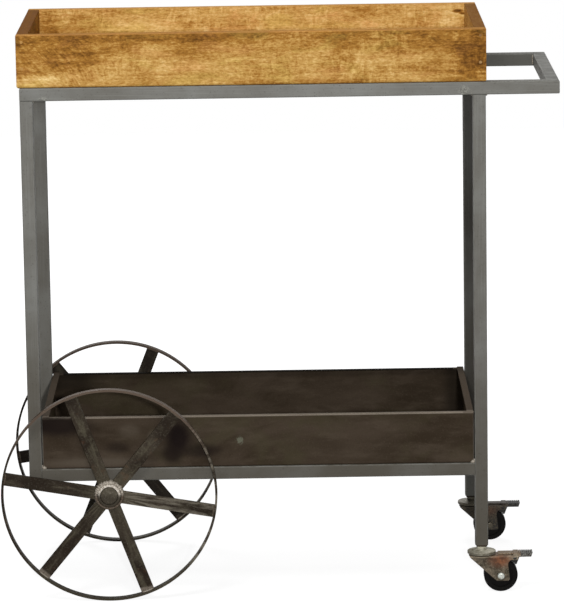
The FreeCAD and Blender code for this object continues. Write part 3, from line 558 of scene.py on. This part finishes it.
# each spot: place along the board, height, half length, half height, change of tone
boardLook = {
    "front": {"grain": "X", "seed": 1, "tone": 0.48, "sapLine": 0.7765, "lean": 0.9, "spots": (
        (-0.03, 0.838, 0.60, 0.016, -0.15), (-0.33, 0.820, 0.105, 0.030, -0.09),
        (-0.275, 0.807, 0.034, 0.018, -0.06), (-0.300, 0.792, 0.044, 0.012, -0.08),
        (-0.365, 0.831, 0.026, 0.014, -0.16), (-0.310, 0.812, 0.028, 0.020, -0.06),
        (-0.345, 0.772, 0.070, 0.012, 0.18), (-0.24, 0.778, 0.030, 0.008, 0.04),
        (-0.18, 0.815, 0.020, 0.012, 0.12), (-0.065, 0.792, 0.090, 0.020, 0.10),
        (0.11, 0.828, 0.080, 0.010, -0.08), (0.04, 0.765, 0.120, 0.006, -0.10),
        (0.190, 0.816, 0.052, 0.018, -0.18), (0.100, 0.806, 0.024, 0.020, -0.12),
        (0.245, 0.815, 0.036, 0.016, -0.15), (0.290, 0.806, 0.036, 0.050, -0.22),
        (0.262, 0.829, 0.012, 0.007, 0.10), (0.195, 0.772, 0.060, 0.011, 0.10),
        (0.265, 0.7645, 0.06, 0.005, -0.08), (0.02, 0.795, 0.16, 0.03, 0.05))},
    "back": {"grain": "X", "seed": 4, "tone": 0.60, "spots": (
        (0.2785, 0.8275, 0.0105, 0.0045, -0.62), (0.286, 0.8235, 0.006, 0.003, -0.5),  # a knot
        # the first spot below is a painted shadow of the left board in the corner
        (-0.342, 0.815, 0.018, 0.040, -0.14), (-0.29, 0.81, 0.13, 0.06, -0.08),
        (0.26, 0.812, 0.016, 0.010, 0.10))},
    "left": {"grain": "Y", "seed": 7, "tone": 0.18, "rim": "darkRim", "rimShare": 0.8},
    "right": {"grain": "Y", "seed": 9, "tone": 0.50, "rim": "darkRim", "rimShare": 0.8},
}

for side, board in boardLook.items():
    woodFinish("trayWood" + side.capitalize(), **board).wear("tray_board_" + side)
for number in range(3):
    tone = woodLook["floorTone"] + woodLook["floorStep"] * (number - 1)
    plank = woodFinish(f"trayWoodFloor{number + 1}", "X", 12 + number * 2, tone)
    plank.wear(f"tray_floor_plank_{number + 1}")


dowelLook = {
    "pale": tint(208, 172, 118),
    "plain": tint(176, 132, 72),
    "dark": tint(128, 90, 46),
    "rightBand": (0.190, 0.290),  # the lower dowel at the right end is the palest
    "lowShadeBand": (0.830, 0.796),
}


def dowelWood():
    look = dowelLook
    finish = Finish("dowelWood", Specular_IOR_Level=0.1)
    x, _, z = finish.axes()
    grain = finish.noise(finish.place, 700, 3, 0.6)
    right = finish.fade(x, *look["rightBand"])
    pale = right * finish.fade(z, *look["lowShadeBand"], 0.15, 0.9)
    base = finish.mix(right, look["plain"], look["dark"])
    colour = finish.mix(pale * 0.45, base, look["pale"])
    colour = finish.mix(finish.fade(grain, 0.4, 0.62) * 0.4, colour, base)
    finish.set("Base Color", colour)
    finish.set("Roughness", 0.5 + grain * 0.2)
    finish.set("Normal", finish.bump(grain, 0.0002, 0.5))
    return finish


dowelWood().wear("tray_dowels")
print("tray finished")


# folded metal bin

binLook = {
    "sheet": tint(66, 56, 46),
    "dark": tint(48, 39, 29),
    "haze": tint(80, 70, 59),
    "olive": tint(63, 58, 41),
    # on the bin this colour makes painted highlights on the front lip and the end edges
    "wornAndHighlight": tint(152, 141, 128),
    "shadow": tint(26, 21, 15),
    # painted shadow under the back lip
    "lipShadow": tint(14, 11, 7),
    # painted shadows on the front wall
    "soot": tint(24, 17, 15),
    # painted light on the front wall
    "pale": tint(96, 87, 76),
    "scuff": tint(112, 114, 98),
    "foldBand": (0.0037, 0.0021),  # below the lips' upper face
    "frontBand": (0.0045, 0.0015),  # behind the front
    "frontLipBand": (0.0125, 0.0045),
    "backBand": (0.0625, 0.0125),  # before the back
    "endLipBand": (0.017, 0.014),  # in from either end
    "endEdgeBand": (0.0015, 0.0004),
    "rightShadeBand": (0.245, 0.268),  # shaded corners inside
    "leftShadeBand": (-0.24, -0.29),
    "leftShadeHeight": (0.236, 0.252),
    # among the spots, the dark ones are painted shadows and the pale ones painted light
    # place along and up the front, half sizes, roughness of the outline, share, tone
    "spots": ((-0.328, 0.261, 0.066, 0.021, 0.6, 0.9, "soot"),
              (-0.150, 0.240, 0.026, 0.036, 0.6, 1.0, "soot"),
              (-0.160, 0.215, 0.020, 0.020, 0.6, 0.8, "soot"),
              (-0.118, 0.221, 0.036, 0.014, 0.8, 0.7, "soot"),
              (-0.240, 0.226, 0.022, 0.012, 0.8, 0.5, "soot"),
              (-0.222, 0.252, 0.020, 0.014, 1.0, 0.25, "pale"),
              (-0.186, 0.240, 0.012, 0.014, 0.8, 0.6, "pale"),
              (-0.270, 0.204, 0.110, 0.010, 1.0, 0.5, "pale"),
              (-0.0595, 0.235, 0.006, 0.007, 2.2, 0.6, "scuff")),
}


def binFinish():
    look = binLook
    finish = Finish("binSheet", Metallic=0.05, Specular_IOR_Level=0.03)
    x, y, z = finish.axes()
    cloud = finish.noise(finish.stretched((6, 6, 14)), 1, 5, 0.6, 0.8)
    smear = finish.noise(finish.stretched((16, 16, 55), (3, 1, 2)), 1, 4, 0.6)
    greenish = finish.noise(finish.stretched((9, 9, 12), (7, 1, 5)), 1, 3, 0.6, 0.5)
    grit = finish.noise(finish.place, 420, 3, 0.6)
    colour = finish.mix(finish.fade(cloud, 0.34, 0.64), look["dark"], look["sheet"])
    colour = finish.mix(finish.fade(smear, 0.46, 0.72) * 0.5, colour, look["haze"])
    colour = finish.mix(finish.fade(greenish, 0.5, 0.68) * 0.45, colour, look["olive"])
    colour = finish.mix(finish.fade(grit, 0.56, 0.7) * 0.3, colour, look["haze"])
    colour = finish.mix(finish.fade(grit, 0.42, 0.3) * 0.3, colour, look["dark"])
    fold = finish.fade(binHigh.z - z, *look["foldBand"])
    frontLip = fold * finish.fade(y - binLow.y, *look["frontLipBand"])
    # painted highlight along the front lip's fold
    colour = finish.mix(frontLip * (0.4 + smear * 0.5), colour, look["wornAndHighlight"])
    back = finish.fade(binHigh.y - y, *look["backBand"])
    leftShade = (finish.fade(x + cloud * 0.04, *look["leftShadeBand"])
                 * finish.fade(z, *look["leftShadeHeight"]))
    shade = finish.fade(x, *look["rightShadeBand"]).most(leftShade)
    colour = finish.mix(back * (0.15 + shade * 0.65), colour, look["shadow"])
    # painted shadow under the back lip
    colour = finish.mix(fold * back * 0.95, colour, look["lipShadow"])
    fromEnd = (binHigh.x - binLow.x) / 2 - abs(x - cartMiddle)
    endLip = fold * finish.fade(fromEnd, *look["endLipBand"])
    colour = finish.mix(endLip * 0.5, colour, look["haze"])
    front = finish.fade(y - binLow.y, *look["frontBand"])
    # painted highlight on the end edges of the front
    endEdge = finish.fade(fromEnd, *look["endEdgeBand"]) * front
    colour = finish.mix(endEdge * 0.4, colour, look["wornAndHighlight"])
    # painted shadows and painted light on the front wall
    for *place, rough, share, tone in look["spots"]:
        ragged = grit if tone == "scuff" else cloud
        gap = finish.oval(x, z, *place) + (ragged - 0.5) * rough
        colour = finish.mix(finish.fade(gap, 1.1, 0.3) * front * share, colour, look[tone])
    finish.set("Base Color", colour)
    finish.set("Roughness", 0.56 + (smear - 0.5) * 0.3 + (cloud - 0.5) * 0.2 + fold * 0.3)
    finish.set("Normal", finish.bump(cloud, 0.0016, 0.25, finish.bump(grit, 0.0001, 0.5)))
    return finish


binFinish().wear("bin_pan")
print("bin finished")


# large wheels of flat bar

wheelLook = {
    "iron": tint(58, 51, 42),
    "dark": tint(35, 28, 21),
    "olive": tint(82, 77, 63),
    # this colour is also the painted light on the wheel's right side
    "wornAndHighlight": tint(132, 125, 112),
    "rust": tint(78, 52, 35),
    "shadow": tint(22, 19, 16),
    # weld spatter, used as the painted highlight on the hub's upper half
    "spatterHighlight": tint(226, 218, 206),
    "spatterDark": tint(158, 148, 134),
    "brown": tint(112, 96, 84),
    "ground": tint(124, 114, 103),
    # bands are distances from the axle
    "innerBand": (0.07, 0.02),
    "outerBand": (0.085, 0.13),
    # painted shade on the left side, painted light on the right side
    "leftShadowBand": (0.02, -0.05),
    "rightBand": (0.0, 0.03),
    "rimTopBand": (0.04, 0.13),
    "rimLowBand": (-0.06, -0.14),
    "tipBand": (0.1475, 0.1515),
    "tipLowBand": (-0.08, -0.11),
    "litCrownBand": (-0.003, 0.005),
    "brimBand": (0.0128, 0.0138),
}


def wheelFinish(name, wear, paler=0.0, crown=False, paintedShade=0.0, part=""):
    # wear is the share of worn grains, paler lightens the whole, and the share of painted shade
    # darkens it
    look = wheelLook
    finish = Finish(name, Metallic=0.12, Specular_IOR_Level=0.05)
    x, y, z = finish.axes()
    cloud = finish.noise(finish.place, 26, 5, 0.6)
    patch = finish.noise(finish.stretched((1, 1, 1), (5, 1, 8)), 85, 4, 0.65, 0.5)
    grit = finish.noise(finish.place, 430, 3, 0.65)
    colour = finish.mix(finish.fade(cloud, 0.36, 0.64), look["dark"], look["iron"])
    colour = finish.mix(finish.fade(patch, 0.5, 0.7) * 0.55, colour, look["olive"])
    colour = finish.mix(finish.fade(patch, 0.42, 0.3) * 0.5, colour, look["rust"])
    offX = x - axle.x
    offZ = z - axle.z
    out = (offX * offX + offZ * offZ).root()
    inner = finish.fade(out + (patch - 0.5) * 0.03, *look["innerBand"])
    colour = finish.mix(inner * 0.45, colour, look["olive"])
    smear = finish.noise(finish.joined(out * 22, offZ.turn(offX) * 14, y * 60), 1, 3, 0.6)
    colour = finish.mix(finish.fade(smear, 0.5, 0.7) * 0.6, colour, look["olive"])
    outer = finish.fade(out + (patch - 0.5) * 0.06, *look["outerBand"])
    # painted shade on the left side; the outer parts are darker too
    left = finish.fade(offX + offZ * 0.3, *look["leftShadowBand"])
    darker = (outer * 0.5).most(left * 0.8) * finish.fade(smear, 0.66, 0.42)
    colour = finish.mix(darker, colour, look["dark"])
    # painted light on the right side
    right = finish.fade(offX - abs(offZ), *look["rightBand"]) * finish.fade(smear, 0.4, 0.6)
    colour = finish.mix(right * 0.5, colour, look["wornAndHighlight"])
    colour = finish.mix(finish.fade(grit, 0.54, 0.68) * wear, colour, look["wornAndHighlight"])
    colour = finish.mix(finish.fade(grit, 0.44, 0.34) * 0.4, colour, look["dark"])
    if paler:
        colour = finish.mix(paler, colour, look["wornAndHighlight"])
    if part == "rim":  # brown above, greenish grey below
        colour = finish.mix(finish.fade(offZ, *look["rimTopBand"]) * 0.55, colour, look["brown"])
        colour = finish.mix(finish.fade(offZ, *look["rimLowBand"]) * 0.35, colour, look["olive"])
    if part == "spoke":  # ground pale beside the lowest welds
        tip = finish.fade(out + (patch - 0.5) * 0.010, *look["tipBand"]) * (1 - paintedShade)
        low = finish.fade(offZ, *look["tipLowBand"])
        colour = finish.mix(tip * low * finish.fade(grit, 0.3, 0.55, 0.35, 0.8),
                            colour, look["ground"])
    if crown:  # painted light: the hub's upper half is painted bright with weld spatter, and its lower half darker as painted shade
        above = finish.fade(offZ + (patch - 0.5) * 0.012, *look["litCrownBand"])
        brim = finish.fade(out, *look["brimBand"])
        spatterHighlight = finish.mix(finish.fade(grit, 0.4, 0.6), look["spatterDark"], look["spatterHighlight"])
        colour = finish.mix(above * brim * 0.85, colour, spatterHighlight)
        colour = finish.mix((1 - above) * 0.5, colour, look["dark"])
    # painted shade over the whole, used on the back wheel
    finish.set("Base Color", finish.mix(paintedShade, colour, look["shadow"]))
    finish.set("Roughness", 0.52 + (patch - 0.5) * 0.3 + (grit - 0.5) * 0.15)
    finish.set("Normal", finish.bump(patch, 0.0012, 0.35, finish.bump(grit, 0.0002, 0.5)))
    return finish


def spokesOf(end):
    return [name for name in nodes if name.startswith(f"{end}_wheel_spoke_")]


wheelIron = wheelFinish("wheelIron", 0.18)
hubIron = wheelFinish("hubIron", 0.5, paler=0.14, crown=True)
# the back wheel's rim and spokes are painted darker as shade
for end, rimShade, spokeShade in (("front", 0.0, 0.0), ("back", 0.42, 0.6)):
    wheelFinish(f"{end}RimIron", 0.12, paintedShade=rimShade, part="rim").wear(f"{end}_wheel_rim")
    spokeIron = wheelFinish(f"{end}SpokeIron", 0.14, paintedShade=spokeShade, part="spoke")
    spokeIron.wear(*spokesOf(end))
    hubIron.wear(f"{end}_wheel_hub")
hubIron.wear("axle_caps")
wheelIron.wear("axle", "axle_collars", "axle_bracket_front", "axle_bracket_back")

wheelWeldLook = {
    "firstSpoke": {"front": 50.3, "back": 8.5},  # degrees
    "tipRadius": 0.0015,
    "tipInset": 0.0006,
    "tipHalfAngle": 3.1,
    "ringRadius": 0.0023,
    "ringLift": 0.0016,
    "crownInset": 0.0007,
    "crownTurn": (18, 176),
    "crownRadius": 0.0036,
    "paintedLightFrom": 0.001,  # above the axle, where the painted highlight on the hub welds begins
}


def wheelWelds(end, side):
    look = wheelWeldLook
    spokeLow, spokeHigh = box("back_wheel_spoke_1")
    hubLow, hubHigh = box("back_wheel_hub")
    plane = (spokeLow.y + spokeHigh.y) / 2
    halfBar = (spokeHigh.y - spokeLow.y) / 2
    rimInner = axle.z - 2 * halfBar  # the wheel stands on the floor and its rim is as thick
    flange = (hubHigh.x - hubLow.x) / 2
    tips = []
    beads = []
    count = len(spokesOf(end))
    for number in range(count):
        turn = look["firstSpoke"][end] + 360 / count * number
        for face in (-1, 1):
            middle = (axle.x, side * plane + face * halfBar, axle.z)
            arc = ringPath(middle, rimInner - look["tipInset"], turn - look["tipHalfAngle"],
                           turn + look["tipHalfAngle"])
            tips.append((arc, look["tipRadius"], False))
    for face in (-1, 1):
        middle = (axle.x, side * plane + face * (halfBar + look["ringLift"]), axle.z)
        beads.append((ringPath(middle, flange), look["ringRadius"], True))
        crown = ringPath(middle, flange - look["crownInset"], *look["crownTurn"])
        beads.append((crown, look["crownRadius"], False))
    # painted highlight above the axle and painted shade below it
    finish = weldFinish(f"{end}WheelWeldSteel", 0.65, axle.z + look["paintedLightFrom"])
    weldPiece(f"{end}WheelWelds", f"{end}_wheel", finish, beads)
    tipFinish = weldFinish(f"{end}SpokeWeldSteel", 0.05, bare=0.1)
    weldPiece(f"{end}SpokeWelds", f"{end}_wheel", tipFinish, tips)


wheelWelds("front", -1)
wheelWelds("back", 1)
print("wheels finished")


# casters

casterLook = {
    "zinc": tint(198, 194, 176),
    "zincDark": tint(134, 128, 108),
    "brimBand": (0.0618, 0.0604),  # the dome is painted darker below, as shade
    "shadow": tint(62, 56, 44),
    "fork": tint(101, 90, 75),
    "forkDark": tint(54, 48, 36),
    "forkPale": tint(150, 138, 118),
    "forkTailBand": (0.334, 0.341),
    "forkTopBand": (0.0525, 0.054),
    "rust": tint(128, 74, 42),
    "rustDark": tint(84, 52, 34),
    "rustSpot": (0.3225, 0.0485, 0.0205, 0.0125),
    "bolt": tint(186, 190, 184),
    "rubber": tint(17, 16, 15),
    "dust": tint(62, 58, 50),
    "pedal": tint(118, 116, 110),
    "pedalDark": tint(44, 41, 37),
    "arm": tint(112, 88, 66),
    "armBand": (0.3535, 0.3515),
    "armTopBand": (0.0525, 0.0535),
    "shoeBand": (0.0527, 0.0519),
    "plug": tint(38, 33, 26),
    "plugPale": tint(74, 64, 50),
    # painted shade: how far each part is darkened; the back caster is painted darker than the
    # front one
    "paintedShades": {"front": {"zinc": 0.0, "fork": 0.0, "bolt": 0.0, "pedal": 0.0},
             "back": {"zinc": 0.8, "fork": 0.84, "bolt": 1.0, "pedal": 0.88}},
}


def zincFinish(name, paintedShade):
    look = casterLook
    finish = Finish(name, Metallic=0.35, Specular_IOR_Level=0.3)
    z = finish.axes()[2]
    cloud = finish.noise(finish.place, 120, 4, 0.6)
    speck = finish.noise(finish.place, 620, 2, 0.5)
    colour = finish.mix(finish.fade(cloud, 0.35, 0.7), look["zinc"], look["zincDark"])
    colour = finish.mix(finish.fade(speck, 0.58, 0.7) * 0.4, colour, look["rustDark"])
    # painted shade on the dome's underside
    brim = finish.fade(z, *look["brimBand"])
    colour = finish.mix(brim * 0.75, colour, look["shadow"])
    # painted shade for the back caster
    colour = finish.mix(paintedShade, colour, look["shadow"])
    finish.set("Base Color", colour)
    finish.set("Roughness", 0.42 + cloud * 0.25)
    finish.set("Normal", finish.bump(cloud, 0.0004, 0.4))
    return finish


def forkFinish(name, paintedShade):
    look = casterLook
    finish = Finish(name, Metallic=0.2, Specular_IOR_Level=0.2)
    x, _, z = finish.axes()
    cloud = finish.noise(finish.place, 110, 4, 0.62, 0.4)
    fine = finish.noise(finish.stretched((1, 1, 1), (2, 6, 1)), 460, 3, 0.65)
    colour = finish.mix(finish.fade(cloud, 0.36, 0.64), look["forkDark"], look["fork"])
    colour = finish.mix(finish.fade(fine, 0.54, 0.68) * 0.5, colour, look["forkPale"])
    tail = finish.fade(x + (cloud - 0.5) * 0.012, *look["forkTailBand"])
    colour = finish.mix(tail * 0.55, colour, look["forkPale"])
    top = finish.fade(z + (cloud - 0.5) * 0.003, *look["forkTopBand"])
    colour = finish.mix(top * 0.55, colour, look["forkPale"])
    stain = finish.oval(x, z, *look["rustSpot"]) + (cloud - 0.5) * 1.2 + (fine - 0.5) * 0.5
    rust = finish.mix(finish.fade(cloud, 0.4, 0.62), look["rustDark"], look["rust"])
    colour = finish.mix(finish.fade(stain, 1.25, 0.2) * 0.85, colour, rust)
    deep = finish.mix(finish.fade(fine, 0.42, 0.58), look["rubber"], look["forkDark"])
    # painted shade for the back caster
    colour = finish.mix(paintedShade, colour, deep)
    finish.set("Base Color", colour)
    finish.set("Roughness", 0.5 + (fine - 0.5) * 0.3)
    finish.set("Normal", finish.bump(cloud, 0.0006, 0.4, finish.bump(fine, 0.00015, 0.5)))
    return finish


def boltFinish(name, paintedShade):
    look = casterLook
    finish = Finish(name, Metallic=0.6)
    rub = finish.noise(finish.place, 480, 3, 0.6)
    colour = finish.mix(finish.fade(rub, 0.45, 0.75), look["bolt"], look["zincDark"])
    # painted shade for the back caster
    finish.set("Base Color", finish.mix(paintedShade, colour, look["shadow"]))
    finish.set("Roughness", 0.24 + rub * 0.2)
    finish.set("Normal", finish.bump(rub, 0.0001, 0.5))
    return finish


def rubberFinish():
    look = casterLook
    finish = Finish("casterRubber", Specular_IOR_Level=0.04)
    dust = finish.noise(finish.place, 160, 4, 0.6)
    grain = finish.noise(finish.place, 900, 2, 0.5)
    colour = finish.mix(finish.fade(dust, 0.55, 0.8) * 0.2, look["rubber"], look["dust"])
    finish.set("Base Color", colour)
    finish.set("Roughness", 0.55 + (grain - 0.5) * 0.3)
    finish.set("Normal", finish.bump(grain, 0.0001, 0.5))
    return finish


def pedalFinish(name, paintedShade):
    look = casterLook
    finish = Finish(name, Metallic=0.2, Specular_IOR_Level=0.2)
    x, _, z = finish.axes()
    speck = finish.noise(finish.place, 430, 4, 0.65)
    colour = finish.mix(finish.fade(speck, 0.42, 0.58), look["pedalDark"], look["pedal"])
    arm = finish.fade(x, *look["armBand"]) * finish.fade(z, *look["armTopBand"])
    rusty = finish.mix(finish.fade(speck, 0.4, 0.62), look["arm"], look["forkPale"])
    colour = finish.mix(arm * 0.85, colour, rusty)
    shoe = finish.fade(z, *look["shoeBand"])
    colour = finish.mix(shoe * 0.9, colour, look["rubber"])
    deep = finish.mix(finish.fade(speck, 0.46, 0.6), look["rubber"], look["pedalDark"])
    # painted shade for the back caster
    colour = finish.mix(paintedShade, colour, deep)
    finish.set("Base Color", colour)
    finish.set("Roughness", 0.46 + speck * 0.2)
    finish.set("Normal", finish.bump(speck, 0.0003, 0.6))
    return finish


def plugFinish():
    look = casterLook
    finish = Finish("legPlug", Specular_IOR_Level=0.2)
    grain = finish.noise(finish.place, 500, 3, 0.6)
    finish.set("Base Color", finish.mix(grain, look["plug"], look["plugPale"]))
    finish.set("Roughness", 0.5 + grain * 0.2)
    finish.set("Normal", finish.bump(grain, 0.0001, 0.5))
    return finish


casterRubber = rubberFinish()
legPlug = plugFinish()
legPlug.wear("leg_plugs")
for end, paintedShades in casterLook["paintedShades"].items():
    zinc = zincFinish(f"{end}CasterZinc", paintedShades["zinc"])
    zinc.wear(f"{end}_caster_stem", f"{end}_caster_dome", f"{end}_caster_balls")
    forkFinish(f"{end}CasterFork", paintedShades["fork"]).wear(f"{end}_caster_fork")
    boltFinish(f"{end}CasterBolt", paintedShades["bolt"]).wear(f"{end}_caster_bolt")
    casterRubber.wear(f"{end}_caster_wheel")
    pedalFinish(f"{end}CasterPedal", paintedShades["pedal"]).wear(f"{end}_caster_pedal")
    legPlug.wear(f"{end}_caster_sleeve")
print("casters finished")


# floor, light and camera

stageLook = {
    "white": (1, 1, 1, 1),
    "floorSize": 9.0,
    "floorTone": (0.28, 0.28, 0.28, 1),
    "floorNear": 0.88,  # how bright the paper itself looks beside the cart
    "nearReach": 0.6,
    "farReach": 1.6,
    "ambient": 0.19,
    # place, power and size
    "lamps": {"key": ((-0.4, -1.5, 2.1), 17.0, 0.5),
              "front": ((0.3, -6.0, 1.55), 195.0, 0.15),
              "top": ((0.9, 0.9, 2.6), 10.0, 1.2),
              "rear": ((-1.2, 3.8, 3.4), 75.0, 1.6)},
    "aim": (0.0, 0.0, 0.5),
}


def floorPaper():
    look = stageLook
    finish = Finish("floorPaper", Base_Color=look["floorTone"], Roughness=0.9,
                    Specular_IOR_Level=0.0, Emission_Strength=1.0)
    reach = finish.node("VectorMath", {"operation": "LENGTH"}, {0: finish.place}, "Value")
    rise = (reach - look["nearReach"]) / (look["farReach"] - look["nearReach"])
    level = look["floorNear"] + rise.most(0.0).least(1.0) * (1.0 - look["floorNear"])
    finish.set("Emission Color", level * finish.seenDirectly())
    return finish


def addFloor():
    half = stageLook["floorSize"] / 2
    mesh = bpy.data.meshes.new("floor")
    mesh.from_pydata([(-half, -half, 0), (half, -half, 0), (half, half, 0), (-half, half, 0)],
                     [], [(0, 1, 2, 3)])
    mesh.materials.append(floorPaper().material)
    floor = bpy.data.objects.new("floor", mesh)
    bpy.context.scene.collection.objects.link(floor)


def addWorld():  # white where it is seen, dimmer where it only lights
    look = stageLook
    world = bpy.data.worlds.new("studio")
    bpy.context.scene.world = world
    world.use_nodes = True
    sky = Shading(world.node_tree)
    seen = sky.tree.nodes["Background"]
    seen.inputs["Color"].default_value = look["white"]
    around = sky.node("Background", None, {"Color": look["white"], "Strength": look["ambient"]})
    choice = sky.node("MixShader", None, {0: sky.seenDirectly(), 1: around,
                                          2: Signal(sky.tree, seen.outputs[0])})
    connect(sky.tree, sky.tree.nodes["World Output"].inputs["Surface"], choice)


def addLamp(name, start, power, size):
    lamp = bpy.data.lights.new(name, "AREA")
    lamp.energy = power
    lamp.size = size
    lit = bpy.data.objects.new(name, lamp)
    bpy.context.scene.collection.objects.link(lit)
    lit.location = start
    aim = Vector(stageLook["aim"]) - Vector(start)
    lit.rotation_euler = aim.to_track_quat("-Z", "Y").to_euler()


cameraLook = {
    "place": (0.00527, -5.95681, 1.54699),
    "pitch": 10.808,
    "yaw": 0.001,
    "roll": 0.864,
    "focalPixels": 4037.654,
    "framePixels": 604,
    "reach": 50,
}


def addCamera():
    look = cameraLook
    pitch, yaw, roll = [math.radians(look[word]) for word in ("pitch", "yaw", "roll")]
    ahead = Vector((math.sin(yaw) * math.cos(pitch), math.cos(yaw) * math.cos(pitch),
                    -math.sin(pitch)))
    level = Vector((math.cos(yaw), -math.sin(yaw), 0))
    rise = level.cross(ahead)
    right = level * math.cos(roll) - rise * math.sin(roll)
    up = rise * math.cos(roll) + level * math.sin(roll)
    data = bpy.data.cameras.new("camera")
    data.lens = look["focalPixels"] * data.sensor_width / look["framePixels"]
    data.clip_end = look["reach"]
    camera = bpy.data.objects.new("camera", data)
    bpy.context.scene.collection.objects.link(camera)
    turn = Matrix((right, up, -ahead)).transposed().to_4x4()
    camera.matrix_world = Matrix.Translation(look["place"]) @ turn
    bpy.context.scene.camera = camera


addFloor()
addWorld()
for name, settings in stageLook["lamps"].items():
    addLamp(name, *settings)
addCamera()
bpy.context.scene.view_settings.view_transform = "Standard"
print("stage ready")
